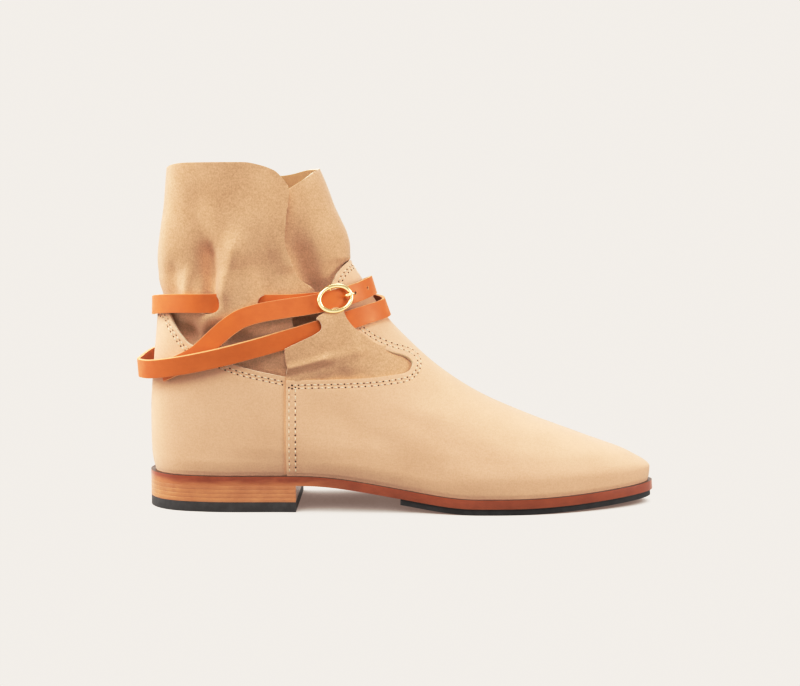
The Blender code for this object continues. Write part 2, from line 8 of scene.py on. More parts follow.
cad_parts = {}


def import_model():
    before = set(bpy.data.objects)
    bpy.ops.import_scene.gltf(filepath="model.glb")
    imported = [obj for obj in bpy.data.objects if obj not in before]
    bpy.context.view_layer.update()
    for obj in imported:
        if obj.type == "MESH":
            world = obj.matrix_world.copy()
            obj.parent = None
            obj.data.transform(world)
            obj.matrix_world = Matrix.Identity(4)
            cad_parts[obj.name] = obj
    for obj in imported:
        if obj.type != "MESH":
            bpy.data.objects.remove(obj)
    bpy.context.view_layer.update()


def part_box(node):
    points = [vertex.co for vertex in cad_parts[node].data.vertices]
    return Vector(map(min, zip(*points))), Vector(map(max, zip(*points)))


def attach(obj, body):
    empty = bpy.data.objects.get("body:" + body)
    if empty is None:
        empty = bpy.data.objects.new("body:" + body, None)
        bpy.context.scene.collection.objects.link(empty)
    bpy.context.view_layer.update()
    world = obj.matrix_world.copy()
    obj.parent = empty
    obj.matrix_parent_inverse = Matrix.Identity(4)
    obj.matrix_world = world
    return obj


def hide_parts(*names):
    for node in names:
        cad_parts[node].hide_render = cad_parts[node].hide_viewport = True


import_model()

# Sizes are in millimetres in the boot's own frame: X from mid-length to the toe, Y to the inner side, Z up.
MM = 0.001

# Sole and heel
OUTSOLE = 5.0
HALF_SOLE = 3.1
HEEL_LIFT = 5.4
GAP = 0.3
HEEL_SEAT = 19.4
BALL_SEAT = HALF_SOLE + GAP + OUTSOLE
HEEL_STACK = HEEL_SEAT - OUTSOLE - HEEL_LIFT - 2 * GAP
HEEL_LAYERS = 4
WELT = 2.0
HEEL_BREAST = -57.0
HALF_SOLE_BACK = 0.0
HALF_SOLE_INSET = 1.0
ARCH_BACK = -52.0
ARCH_FRONT = 40.0
TOE_BREAK = 62.0
TOE_TIP = 139.0
TOE_SPRING = 3.9
SPRING_POWER = 1.6
INSOLE = 2.5
ROUNDED_END = 24.0

# Leather walls
VAMP_WALL = 1.5
COUNTER_WALL = 1.5
COUNTER_STEP = 0.5
COUNTER_LAP = 9.0
SHAFT_WALL = 1.5
FLAP_WALL = 1.4
LAP_GAP = 0.35
TUCK = 3.4
SEAM_TOP_X = -61.7
SEAM_FOOT_X = -62.0
SEAM_TOP_LEVEL = 5.7
FOOT_DROP = 0.7
FOOT_DROP_LEVEL = 0.12
FOOT_PULL = 0.35
FOOT_PULL_LEVEL = 0.2
COUNTER_DIP_START = 1.3
COUNTER_DIP_WIDTH = 1.7
COUNTER_CLEARANCE = 0.12
INSOLE_CLEARANCE = 1.6

# Columns and rows of each sheet's mesh, and the sheet's rough length and height
VAMP_GRID = (330, 110)
VAMP_SPANS = (420.0, 120.0)
VAMP_TOP_LEVEL = 10.0
VAMP_CROWDING = 1.25
COUNTER_GRID = (210, 100)
COUNTER_SPANS = (200.0, 90.0)
COUNTER_TOP_LEVEL = 9.6
COUNTER_CROWDING = 1.15
SHAFT_GRID = (330, 120)
SHAFT_SPANS = (320.0, 120.0)
FLAP_GRID = (150, 86)
STRAP_GRID = (1200, 14)
FOOT_ROWS = 24
HALVINGS = 30
FAR_OUTSIDE = -50.0

# Strap and buckle
STRAP_WIDTH = 10.2
STRAP_THICK = 1.8
RING_LENGTH = 20.8
RING_HEIGHT = 15.6
RING_WIRE = 2.3
BAR_WIRE = 1.8
PRONG_WIRE = 1.6
BUCKLE_TURN = 130.0
BUCKLE_HEIGHT = 114.0
RING_STAND_OFF = 7.0
BAR_STAND_OFF = 2.4
RING_STEPS = 96

# Rings of the boot's form: back and front points, then the half-widths at seven shares from back to front
SHARES = (0.0, 0.12, 0.30, 0.50, 0.65, 0.80, 1.0)
SECTIONS = np.array((
    # back_x, back_z, front_x, front_z, half-width at each share
    (-137.6, 19.7, 138.6, 13.7, 60.0, 43.5, 32.8, 33.8, 43.2, 47.8, 39.0),
    (-139.2, 29.0, 139.2, 20.5, 61.0, 45.5, 35.3, 35.4, 44.0, 47.4, 40.0),
    (-139.5, 38.0, 127.6, 29.0, 60.0, 45.5, 36.5, 35.0, 41.4, 45.2, 41.5),
    (-139.5, 47.5, 102.2, 38.6, 57.5, 45.0, 36.5, 33.6, 37.6, 42.2, 42.0),
    (-139.3, 57.0, 71.4, 49.7, 54.5, 44.0, 36.2, 32.6, 34.0, 38.6, 41.0),
    (-138.7, 66.5, 44.4, 61.2, 51.0, 43.0, 36.0, 32.2, 32.4, 34.0, 36.5),
    (-137.8, 76.0, 23.0, 74.6, 48.0, 42.0, 35.6, 32.0, 31.6, 31.8, 33.0),
    (-137.0, 85.5, 5.5, 89.8, 45.5, 40.5, 35.2, 32.0, 31.2, 31.0, 31.5),
    (-136.0, 95.0, -9.6, 106.0, 43.0, 39.0, 34.8, 32.0, 31.0, 30.4, 30.0),
    (-135.2, 104.0, -19.4, 121.5, 41.0, 38.0, 34.4, 32.0, 30.8, 30.0, 29.5),
    (-134.6, 112.0, -28.0, 136.5, 40.0, 37.4, 34.2, 32.0, 30.6, 29.6, 29.0),
    (-134.4, 122.0, -28.2, 143.0, 38.0, 36.0, 33.5, 31.5, 30.4, 29.6, 29.0),
    (-134.2, 131.5, -29.8, 150.0, 41.0, 38.2, 34.9, 33.0, 31.5, 30.5, 30.0),
    (-133.2, 142.0, -33.2, 157.5, 45.0, 40.5, 36.4, 34.0, 32.8, 31.6, 31.0),
    (-131.6, 153.0, -36.7, 165.0, 46.0, 41.5, 37.2, 35.0, 33.8, 32.4, 31.5),
    (-130.2, 164.0, -39.4, 172.5, 46.5, 42.0, 37.6, 35.5, 34.4, 33.0, 32.0),
    (-129.2, 175.5, -42.4, 180.0, 47.0, 42.2, 37.8, 35.8, 34.7, 33.2, 32.0),
    (-128.0, 188.0, -46.0, 188.0, 47.0, 42.2, 38.0, 36.0, 35.0, 33.5, 32.0),
))
TOP_LEVEL = len(SECTIONS) - 1
SOLE_FADE = 6.0
SWING_FADE = 8.0
SWING_PLACES = (-139.0, -60.0, 0.0, 50.0, 90.0, 139.0)
SWING = (1.0, 1.6, 2.2, 3.6, 5.2, 3.6)

# Edges of the two panels of the upper, seen from the side
VAMP_EDGE = (
    # x, z
    (-26.2, 135.8),
    (-28.4, 134.6),
    (-32.6, 130.8),
    (-35.6, 126.2),
    (-38.2, 116.5),
    (-31.2, 103.5),
    (-18.0, 92.2),
    (-6.6, 86.5),
    (1.5, 83.8),
    (5.2, 81.6),
    (6.4, 79.6),
    (5.5, 77.0),
    (2.6, 75.1),
    (-3.0, 74.0),
    (-22.0, 72.5),
    (-61.4, 71.7),
    (-74.0, 71.6),
)
COUNTER_EDGE = (
    # x, z
    (-48.0, 70.6),
    (-62.4, 73.6),
    (-88.8, 80.0),
    (-111.2, 89.9),
    (-117.1, 94.4),
    (-122.4, 101.2),
    (-125.4, 106.6),
    (-130.0, 109.0),
    (-138.0, 109.4),
)

# The shaft is one sheet wrapped from its hidden front edge, round the leg, to the free edge of its back part
HEM_LEVEL = 5.25
TUCK_MARGIN = 2.0
TUCK_EASE = 15.0
FRONT_TUCK_MARGIN = -0.8
FRONT_TUCK_EASE = 1.6
FRONT_SPREAD = 45.0
FRONT_PART_END = 200.0
OUTER_EASE = 8.0
LAP_TURN = 11.0
LAP_EASE = 20.0
LAP_LEVELS = (5.0, 7.0, 8.1, 8.8, 9.15, 9.6, 10.6, 11.9, 13.4, 14.9, 16.0, 17.0)
LAP_TURNS = (100.0, 102.0, 104.0, 116.0, 124.0, 118.4, 114.8, 111.8, 115.8, 121.4, 124.0, 124.5)
RIM_TURNS = (
    113.0, 122.0, 137.0, 159.0, 173.0, 190.0, 208.0, 245.0,
    310.0, 367.0, 410.0, 456.0, 467.0, 477.0, 485.0,
)
RIM_LEVELS = (
    14.94, 15.18, 15.80, 16.44, 16.6, 16.66, 16.68, 16.36,
    16.4, 16.75, 16.95, 16.95, 16.81, 16.5, 15.5,
)
BRIDGE_X = -86.5
BRIDGE_Z = 113.0
BRIDGE_RISE = 2.6
BRIDGE_SPREAD_X = 20.0
BRIDGE_SPREAD_Z = 17.0
STRAP_HOLES = (
    # x, z, half length, half height
    (-104.4, 112.7, 7.8, 5.3),
    (-68.4, 112.4, 7.8, 5.3),
)
STRAP_HOLE_SQUARENESS = 2.6

# Folds of the shaft: the two ends of each in the side view, half of its width and its height above the form
BACK_FOLDS = (
    # top_x, top_z, foot_x, foot_z, half_width, height
    (-89.0, 141.0, -94.6, 121.0, 4.8, 3.8),
    (-76.0, 153.0, -81.0, 141.0, 11.0, 3.4),
    (-102.4, 136.0, -100.2, 118.0, 4.3, -5.2),
    (-109.5, 162.0, -104.0, 143.0, 8.5, -3.8),
    (-113.8, 126.0, -114.2, 121.0, 2.8, 2.0),
    (-122.5, 128.0, -122.5, 121.0, 3.6, -1.8),
    (-126.0, 150.0, -127.0, 140.0, 6.0, 1.0),
    (-75.0, 128.0, -73.0, 121.0, 6.0, -1.6),
    (-64.0, 136.0, -62.0, 126.0, 4.5, 1.0),
    (-136.0, 126.0, -136.0, 116.0, 5.0, -0.9),
    (-113.0, 96.0, -90.0, 93.0, 7.0, -6.6),
    (-103.0, 104.0, -110.0, 95.0, 3.4, 1.6),
    (-113.0, 106.0, -116.0, 101.0, 3.2, -1.2),
    (-97.0, 99.0, -100.0, 92.0, 3.8, -1.0),
    (-83.0, 101.0, -81.0, 94.0, 4.5, 1.0),
)
FRONT_FOLDS = (
    # top_x, top_z, foot_x, foot_z, half_width, height
    (-53.5, 136.0, -49.5, 120.0, 8.5, -6.0),
    (-45.0, 122.0, -42.0, 117.0, 6.0, -3.0),
    (-46.0, 176.0, -50.0, 168.0, 8.0, 0.8),
    (-49.0, 103.5, -45.0, 101.5, 7.0, -6.0),
)
INNER_FOLDS = (
    # top_x, top_z, foot_x, foot_z, half_width, height
    (-112.0, 146.0, -113.0, 119.0, 5.0, 1.8),
    (-101.0, 143.0, -102.0, 119.0, 5.0, -2.0),
    (-86.0, 158.0, -89.0, 120.0, 7.0, 2.0),
    (-72.0, 146.0, -73.0, 119.0, 5.5, -2.2),
    (-58.0, 152.0, -60.0, 119.0, 5.5, 1.6),
    (-45.0, 148.0, -47.0, 122.0, 4.5, -1.4),
    (-98.0, 170.0, -84.0, 166.0, 12.0, -1.4),
    (-136.0, 131.0, -136.0, 114.0, 7.0, -2.2),
)
FOLD_FADE = 1.8
LAP_CURL = 2.2
LAP_CURL_WIDTH = 12.0
LAP_CURL_LEVEL = 9.6

# Loose lower wing of the shaft's front part: its free edge in the side view, and its stand-off from the form
FLAP_EDGE = (
    # x, z
    (-61.2, 69.0),
    (-61.7, 73.4),
    (-60.6, 78.5),
    (-61.5, 81.4),
    (-62.0, 88.0),
    (-61.2, 89.2),
    (-55.1, 92.2),
    (-48.3, 95.4),
    (-43.2, 98.4),
    (-42.2, 100.8),
    (-43.2, 103.6),
    (-45.0, 105.4),
    (-40.5, 108.4),
    (-35.0, 110.8),
    (-31.0, 109.0),
    (-29.0, 104.7),
    (-24.7, 99.3),
    (-18.9, 94.8),
    (-12.5, 90.2),
    (-4.0, 88.2),
    (5.0, 86.0),
    (11.0, 81.5),
)
FLAP_FORM = (
    # x, z, stand_off
    (-62.0, 71.5, -1.9),
    (-48.0, 71.5, -1.9),
    (-34.0, 71.5, -1.9),
    (-20.0, 72.0, -1.9),
    (-6.0, 72.8, -1.9),
    (5.0, 76.5, -1.9),
    (10.0, 81.0, -1.9),
    (-60.0, 77.6, 2.2),
    (-54.0, 79.4, 3.2),
    (-46.5, 81.2, 4.0),
    (-38.5, 82.6, 4.2),
    (-27.0, 83.0, 3.4),
    (-14.0, 83.0, 0.6),
    (-11.0, 78.0, -0.8),
    (-1.0, 80.5, -1.8),
    (-5.0, 85.5, -1.6),
    (-61.5, 84.5, 3.6),
    (-51.0, 86.5, 4.2),
    (-39.0, 88.0, 4.6),
    (-28.0, 88.5, 4.0),
    (-17.0, 87.5, 1.8),
    (-61.0, 90.0, 4.6),
    (-50.0, 93.0, 5.4),
    (-40.0, 94.0, 6.0),
    (-30.0, 94.0, 5.2),
    (-22.0, 93.0, 3.0),
    (-14.0, 90.5, 1.6),
    (-44.0, 104.0, 6.4),
    (-36.0, 102.0, 6.8),
    (-29.5, 101.0, 5.4),
    (-25.0, 98.5, 3.4),
    (-34.0, 109.0, 6.2),
)
FLAP_SOFTNESS = 4.6
FLAP_FOLDS = (
    # top_x, top_z, foot_x, foot_z, half_width, height
    (-60.0, 78.2, -42.0, 82.4, 2.0, 1.4),
    (-41.0, 82.6, -22.0, 86.0, 2.6, 0.7),
    (-60.0, 74.6, -42.0, 78.8, 2.4, -1.3),
    (-41.0, 79.0, -20.0, 82.0, 3.0, -0.5),
    (-33.0, 106.0, -24.0, 86.0, 3.0, 0.6),
)

# Route of the strap from the bar of the buckle, twice round, through the buckle and on to the tip of its tail
STRAP_ROUTE = np.array((
    # turn, height, stand_off of the inner face from the form
    (126.6, 113.5, 1.3),
    (120.0, 113.3, 1.0),
    (105.0, 112.6, 1.1),
    (97.5, 112.6, -0.4),
    (90.5, 112.7, -2.7),
    (72.5, 112.9, -2.5),
    (65.0, 113.0, -0.4),
    (57.0, 113.0, 1.1),
    (40.0, 112.6, 0.6),
    (20.0, 111.4, 0.8),
    (0.0, 110.2, 1.1),
    (-30.0, 110.1, 0.7),
    (-70.0, 111.2, 0.5),
    (-110.0, 111.8, 0.8),
    (-145.0, 110.3, 2.0),
    (-180.0, 107.9, 2.3),
    (-195.0, 107.0, 2.1),
    (-210.0, 105.8, 1.7),
    (-226.0, 103.2, 1.4),
    (-245.0, 98.9, 0.9),
    (-261.0, 94.6, 0.7),
    (-280.0, 89.2, 2.4),
    (-298.0, 84.2, 3.4),
    (-318.0, 79.7, 4.4),
    (-341.0, 76.4, 5.8),
    (-360.0, 75.6, 6.4),
    (-380.0, 79.8, 6.6),
    (-405.0, 84.2, 4.4),
    (-430.0, 87.4, 1.9),
    (-455.0, 96.0, 1.2),
    (-480.0, 106.4, 3.3),
    (-500.0, 113.8, 4.3),
    (-520.0, 118.2, 3.8),
    (-540.0, 119.9, 2.2),
    (-555.0, 119.2, 2.3),
    (-570.0, 117.2, 2.9),
    (-590.0, 113.9, 3.6),
    (-603.0, 111.6, 3.5),
    (-617.0, 109.9, 3.4),
    (-629.0, 108.0, 2.9),
    (-639.0, 105.0, 2.5),
    (-648.0, 99.7, 1.7),
    (-658.0, 92.3, 0.8),
    (-668.0, 85.0, 0.5),
    (-680.0, 79.4, 0.5),
    (-692.0, 74.9, 0.5),
))
STRAP_UPRIGHT = 0.5
STRAP_LEANS = np.array((
    # turn travelled from the buckle, lean of the face: up is more than 0
    (0.0, 0.0),
    (355.0, 0.0),
    (385.0, -0.12),
    (410.0, -0.26),
    (450.0, -0.30),
    (480.0, -0.12),
    (520.0, 0.0),
    (700.0, 0.0),
    (740.0, 0.18),
    (785.0, 0.14),
    (820.0, 0.0),
))
BUCKLE_ROW = int(np.argmin(np.abs(STRAP_ROUTE[:, 0] - (BUCKLE_TURN - 720.0))))
PUNCHES = (13.3, 23.4)
PUNCH = 0.95

# Seams: the rows' distances from the panel's edge, the trough they draw, and the stitches with the painted
# shade of their pinholes
SEAM_ROWS = (2.6, 4.4)
SIDE_SEAM_ROWS = (1.7, 5.1)
SEAM_HOLLOW = 0.28
SEAM_HOLLOW_PLACE = 3.5
SEAM_HOLLOW_WIDTH = 1.5
SIDE_HOLLOW = 0.22
SIDE_HOLLOW_PLACE = 4.6
SIDE_HOLLOW_WIDTH = 1.6
SEAM_DEPTH = 0.27
SIDE_SEAM_DEPTH = 0.2
SIDE_SEAM_LEVELS = (0.15, 5.35)
COUNTER_ROW_TURN = 84.0
COUNTER_ROW_LEVELS = (3.0, 9.8)
COUNTER_ROW_END = 1.5
STITCH_PITCH = 3.5
STITCH_LENGTH = 1.9
THREAD = 0.7
THREAD_RISE = 0.12
PINHOLE = 1.05
PINHOLE_DEPTH = 0.4

# Camera, as it stood for the photograph
CAMERA_X = -0.7
CAMERA_DISTANCE = 800.0
CAMERA_HEIGHT = 161.0
AIM_HEIGHT = 89.0
CAMERA_LENS = 65.15

# Contrast of the photograph
TONES = (
    # light as it arrives, as it is shown
    (0.0, 0.0),
    (0.2, 0.19),
    (0.35, 0.39),
    (0.5, 0.57),
    (0.65, 0.72),
    (0.8, 0.83),
    (1.0, 0.93),
)

# Studio: the pale floor as it is seen, the painted shadow where the boot covers it, and what it throws back
# on to the boot
FLOOR_COLOUR = (0.915, 0.850, 0.778)
FLOOR_SHADE = (0.190, 0.125, 0.100)
FLOOR_SHADE_REACH = 0.045
FLOOR_COVER = (0.05, 0.55)
FLOOR_BOUNCE = (0.30, 0.29, 0.275)
AIR_GLOW = 0.02
AIR_MIRRORED = 0.55
AIR_SEEN = 0.87
AIR_COLOUR = (1.0, 0.975, 0.94)

# Floor and lights, in metres
FLOOR_HALF_WIDTH = 4.0
FLOOR_FRONT = -3.0
SWEEP_START = 1.2
SWEEP_RADIUS = 1.5
SWEEP_STEPS = 12
SWEEP_TOP = 4.0
WHITE = (1.0, 1.0, 1.0)
LIGHTS = (
    # name, place, aim, size, energy, colour
    ("left_back", (-1.4, 0.7, 0.7), (-0.05, 0.0, 0.1), 0.9, 12.0, (1.0, 0.985, 0.96)),
    ("left", (-1.6, -0.35, 0.6), (-0.05, 0.0, 0.1), 0.9, 13.5, WHITE),
    ("top_left", (-1.1, -0.3, 1.3), (0.0, 0.0, 0.1), 0.9, 9.0, WHITE),
    ("top_back", (0.0, 0.9, 1.5), (0.0, 0.0, 0.0), 1.2, 19.0, WHITE),
    ("right", (1.6, -0.35, 0.6), (0.05, 0.0, 0.05), 0.9, 16.5, WHITE),
    ("front_top", (0.0, -1.3, 1.5), (0.0, 0.0, 0.08), 1.0, 17.5, WHITE),
    ("front", (0.0, -2.2, 0.7), (0.0, 0.0, 0.08), 1.2, 4.0, (1.0, 0.98, 0.95)),
)


def ease(share):
    """Soft step from 0 to 1."""
    share = np.clip(share, 0.0, 1.0)
    return share * share * (3.0 - 2.0 * share)


def through(stations, values, places):
    """Smooth curve through the values, which never overshoots them; values may hold a row for each place."""
    stations = np.asarray(stations, float)
    values = np.asarray(values, float)
    places = np.clip(np.asarray(places, float), stations[0], stations[-1])
    spans = np.diff(stations)
    slopes = np.diff(values, axis=-1) / spans
    before = slopes[..., :-1]
    after = slopes[..., 1:]
    weight_before = 2.0 * spans[1:] + spans[:-1]
    weight_after = spans[1:] + 2.0 * spans[:-1]
    same_way = before * after > 0.0
    safe_before = np.where(same_way, before, 1.0)
    safe_after = np.where(same_way, after, 1.0)
    mean = (weight_before + weight_after) / (weight_before / safe_before + weight_after / safe_after)
    tangents = np.concatenate([slopes[..., :1], np.where(same_way, mean, 0.0), slopes[..., -1:]], axis=-1)
    left = np.clip(np.searchsorted(stations, places, side="right") - 1, 0, len(stations) - 2)

    def pick(table, column):
        if table.ndim == 1:
            return table[column]
        return np.take_along_axis(table, column[..., None], -1)[..., 0]

    span = spans[left]
    share = (places - stations[left]) / span
    start = pick(tangents, left) * span
    end = pick(tangents, left + 1) * span
    low = pick(values, left)
    rise = pick(values, left + 1) - low
    bend = 3.0 * rise - 2.0 * start - end + share * (start + end - 2.0 * rise)
    return low + share * (start + share * bend)


def along_rows(rows, column, place):
    """Value of one column at a place counted in rows."""
    table = np.asarray(rows, float)
    return through(np.arange(len(table)), table[:, column], place)


def smooth_path(points, steps):
    """Points on the smooth curve through points of the side view, with the ends kept."""
    points = np.asarray(points, float)
    ends = np.vstack([points[:1], points, points[-1:]])
    path = []
    for before, start, end, after in zip(ends, ends[1:], ends[2:], ends[3:]):
        share = np.arange(steps)[:, None] / steps
        pull = 0.5 * (end - before)
        push = 0.5 * (after - start)
        rise = end - start
        bend = 3 * rise - 2 * pull - push + share * (pull + push - 2 * rise)
        path.append(start + share * (pull + share * bend))
    return np.vstack(path + [points[-1:]])


def sole_line(x):
    """Height of the outsole's top: level heel seat, arch, flat ball, toe spring."""
    height = HEEL_SEAT - (HEEL_SEAT - BALL_SEAT) * ease((x - ARCH_BACK) / (ARCH_FRONT - ARCH_BACK))
    spring = np.clip((x - TOE_BREAK) / (TOE_TIP - TOE_BREAK), 0.0, None)
    return height + TOE_SPRING * spring ** SPRING_POWER


def ring_ends(level):
    """Back and front points of the form's ring at a level."""
    return [along_rows(SECTIONS, column, level) for column in range(4)]


def turn_at(level, x):
    """Turn on the outer side at which the ring of a level passes x."""
    back_x, _, front_x, _ = ring_ends(level)
    return np.degrees(np.arccos(np.clip(1.0 - 2.0 * (x - back_x) / (front_x - back_x), -1.0, 1.0)))


def form(level, turn):
    """Point of the boot's form: turn 0 is the back, 90 the outer side, 180 the front, 270 the inner side."""
    level, turn = np.broadcast_arrays(np.asarray(level, float), np.asarray(turn, float))
    back_x, back_z, front_x, front_z = ring_ends(level)
    widths = np.stack([along_rows(SECTIONS, column, level) for column in range(4, 11)], axis=-1)
    angle = np.radians(turn)
    share = 0.5 * (1.0 - np.cos(angle))
    x = back_x + (front_x - back_x) * share
    foot_back_x, foot_back_z, foot_front_x, foot_front_z = SECTIONS[0, :4]
    foot_chord = foot_back_z + (foot_front_z - foot_back_z) * (x - foot_back_x) / (foot_front_x - foot_back_x)
    fade = np.clip(1.0 - level / SOLE_FADE, 0.0, None) ** 2
    z = back_z + (front_z - back_z) * share + (sole_line(x) + GAP - foot_chord) * fade
    middle = through(SWING_PLACES, SWING, x) * np.clip(1.0 - level / SWING_FADE, 0.0, None)
    return np.stack([x, middle - through(SHARES, widths, share) * np.sin(angle), z], axis=-1)


def unit(vectors):
    return vectors / np.linalg.norm(vectors, axis=-1, keepdims=True)


def form_normal(level, turn):
    """Outward direction of the form."""
    step = 0.02
    up = form(np.minimum(level + step, TOP_LEVEL), turn) - form(np.maximum(level - step, 0.0), turn)
    return unit(np.cross(form(level, turn + 0.5) - form(level, turn - 0.5), up))


def off_form(level, turn, stand_off):
    """Point that stands off the form."""
    return form(level, turn) + form_normal(level, turn) * np.asarray(stand_off, float)[..., None]


def rise_to(is_below, low, high):
    """Highest levels at which a test still holds, found by halving."""
    for _ in range(HALVINGS):
        middle = 0.5 * (low + high)
        below = is_below(middle)
        low = np.where(below, middle, low)
        high = np.where(below, high, middle)
    return low


def level_of(turn, height):
    """Level at which the form reaches a height at this turn."""

    def is_below(level):
        return form(level, turn)[..., 2] < height

    return rise_to(is_below, np.zeros_like(turn), np.full_like(turn, TOP_LEVEL))


def outer_side(x, z):
    """Level and turn of the outer side's point that is seen at x and z from the side."""

    def is_below(level):
        return (form(level, turn_at(level, x))[..., 2] < z) & (x < ring_ends(level)[2])

    level = rise_to(is_below, np.zeros_like(x), np.full_like(x, TOP_LEVEL))
    return level, turn_at(level, x)


def distance_to_path(x, z, path):
    """Distance in the side view from each place to a line of points."""
    start = path[:-1]
    step = np.diff(path, axis=0)
    nearest = np.full(x.shape, np.inf)
    for (start_x, start_z), (step_x, step_z) in zip(start, step):
        share = ((x - start_x) * step_x + (z - start_z) * step_z) / (step_x ** 2 + step_z ** 2)
        share = np.clip(share, 0.0, 1.0)
        nearest = np.minimum(nearest, np.hypot(x - start_x - share * step_x, z - start_z - share * step_z))
    return nearest


def depth_inside(x, z, path, corners):
    """How far a place lies past an edge, into the opening that the edge and the corners enclose."""
    outline = np.vstack([path, corners])
    crossings = np.zeros(x.shape, bool)
    for (start_x, start_z), (end_x, end_z) in zip(outline, np.roll(outline, -1, axis=0)):
        spans = (start_z > z) != (end_z > z)
        reach = start_x + (end_x - start_x) * (z - start_z) / (end_z - start_z if end_z != start_z else 1.0)
        crossings ^= spans & (x < reach)
    return np.where(crossings, 1.0, -1.0) * distance_to_path(x, z, path)


def fold_height(x, z, folds):
    """Soft ridges and troughs laid over the side view, each fading out at its ends."""
    total = np.zeros(x.shape)
    for top_x, top_z, foot_x, foot_z, half_width, height in folds:
        along_x = foot_x - top_x
        along_z = foot_z - top_z
        length = math.hypot(along_x, along_z)
        along = ((x - top_x) * along_x + (z - top_z) * along_z) / length
        across = ((x - top_x) * along_z - (z - top_z) * along_x) / length
        past_end = np.maximum(np.maximum(-along, along - length), 0.0)
        total += height * np.exp(-(across / half_width) ** 2 - (past_end / (FOLD_FADE * half_width)) ** 2)
    return total


VAMP_PATH = smooth_path(VAMP_EDGE, 10)
COUNTER_PATH = smooth_path(COUNTER_EDGE, 10)
ABOVE_VAMP = ((-74.0, 260.0), (10.0, 260.0), (10.0, 146.0))
ABOVE_COUNTER = ((-170.0, 109.4), (-170.0, 260.0), (-48.0, 260.0))


def past_vamp(points):
    return depth_inside(points[..., 0], points[..., 2], VAMP_PATH, ABOVE_VAMP)


def past_counter(points):
    return depth_inside(points[..., 0], points[..., 2], COUNTER_PATH, ABOVE_COUNTER)


def find_shift():
    """World place of the boot's own zero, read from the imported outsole."""
    low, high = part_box("outsole")
    turns = np.arange(0.0, 360.0, 0.5)
    edge = foot_edge(turns, WELT)
    middle = 0.5 * (edge.min(axis=0) + edge.max(axis=0))
    return np.array(((low.x + high.x) / 2 / MM - middle[0], (low.y + high.y) / 2 / MM - middle[1], 0.0))


def foot_edge(turn, margin):
    """Outline of the foot in plan, moved out by a margin."""
    place = form(0.0, turn)
    along = form(0.0, turn + 0.5) - form(0.0, turn - 0.5)
    outward = unit(np.stack([along[..., 1], -along[..., 0], np.zeros(along.shape[:-1])], axis=-1))
    return place + outward * margin


SHIFT = find_shift()


def world(points):
    return (np.asarray(points) + SHIFT) * MM


def put_in_scene(name, data):
    holder = bpy.data.objects.new(name, data)
    bpy.context.scene.collection.objects.link(holder)
    return holder


def finished_mesh(name, made):
    mesh = bpy.data.meshes.new(name)
    made.to_mesh(mesh)
    made.free()
    return mesh


def new_piece(name, mesh, materials):
    piece = put_in_scene(name, mesh)
    for material in materials:
        mesh.materials.append(material)
    mesh.shade_smooth()
    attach(piece, "root")
    return piece


def grid_mesh(name, counts, surface, past_edge=None, spans=None):
    """Grid laid on a surface by shares along and up, cut off at an edge and drawn to it."""
    grid = bmesh.new()
    bmesh.ops.create_grid(grid, x_segments=counts[0], y_segments=counts[1], size=0.5)
    grid.verts.ensure_lookup_table()
    shares = np.array([(vertex.co.x + 0.5, vertex.co.y + 0.5) for vertex in grid.verts])
    if past_edge is not None:
        depth = past_edge(surface(shares[:, 0], shares[:, 1]))
        number = grid.verts.layers.int.new("number")
        for vertex in grid.verts:
            vertex[number] = vertex.index
        corners = np.array([[vertex.index for vertex in face.verts] for face in grid.faces])
        taken = depth[corners].mean(axis=1) > 0.0
        grid.faces.ensure_lookup_table()
        rim = np.intersect1d(np.unique(corners[taken]), np.unique(corners[~taken]))
        bmesh.ops.delete(grid, geom=[grid.faces[i] for i in np.flatnonzero(taken)], context="FACES")
        shares[rim] = drawn_to_edge(shares[rim], surface, past_edge, spans)
        kept = np.array([vertex[number] for vertex in grid.verts])
        grid.verts.layers.int.remove(number)
        shares = shares[kept]
    places = world(surface(shares[:, 0], shares[:, 1]))
    for vertex, place in zip(grid.verts, places):
        vertex.co = place
    bmesh.ops.remove_doubles(grid, verts=grid.verts, dist=0.02 * MM)
    return finished_mesh(name, grid)


def drawn_to_edge(shares, surface, past_edge, spans):
    """Shares of the rim's points, moved along the surface until they lie on the edge."""
    along, up = shares.T.copy()
    step = 0.0005

    def depth(a, u):
        return past_edge(surface(a, u))

    for _ in range(4):
        here = depth(along, up)
        slope_along = (depth(along + step, up) - depth(along - step, up)) / (2.0 * step * spans[0])
        slope_up = (depth(along, up + step) - depth(along, up - step)) / (2.0 * step * spans[1])
        slope_along = np.where((along <= 0.0) | (along >= 1.0), 0.0, slope_along)
        steepness = np.maximum(slope_along ** 2 + slope_up ** 2, 0.05)
        along = np.clip(along - here * slope_along / steepness / spans[0], 0.0, 1.0)
        up = np.clip(up - here * slope_up / steepness / spans[1], 0.0, 1.0)
    return np.stack([along, up], axis=1)


def thicken(piece, thickness, offset=-1.0, edge=0.42, segments=2):
    """Wall with its raw edge in the second material and its inner face in the third, and softened corners."""
    wall = piece.modifiers.new("wall", "SOLIDIFY")
    wall.thickness = thickness * MM
    wall.offset = offset
    wall.use_even_offset = False
    slots = len(piece.data.materials)
    wall.material_offset_rim = 1 if slots > 1 else 0
    wall.material_offset = 2 if slots > 2 else 0
    soften(piece, edge, segments, 1 if slots > 1 else -1)


def soften(piece, width, segments, material):
    corner = piece.modifiers.new("corner", "BEVEL")
    corner.material = material
    corner.width = width * MM
    corner.segments = segments
    corner.limit_method = "ANGLE"
    corner.angle_limit = math.radians(50.0)


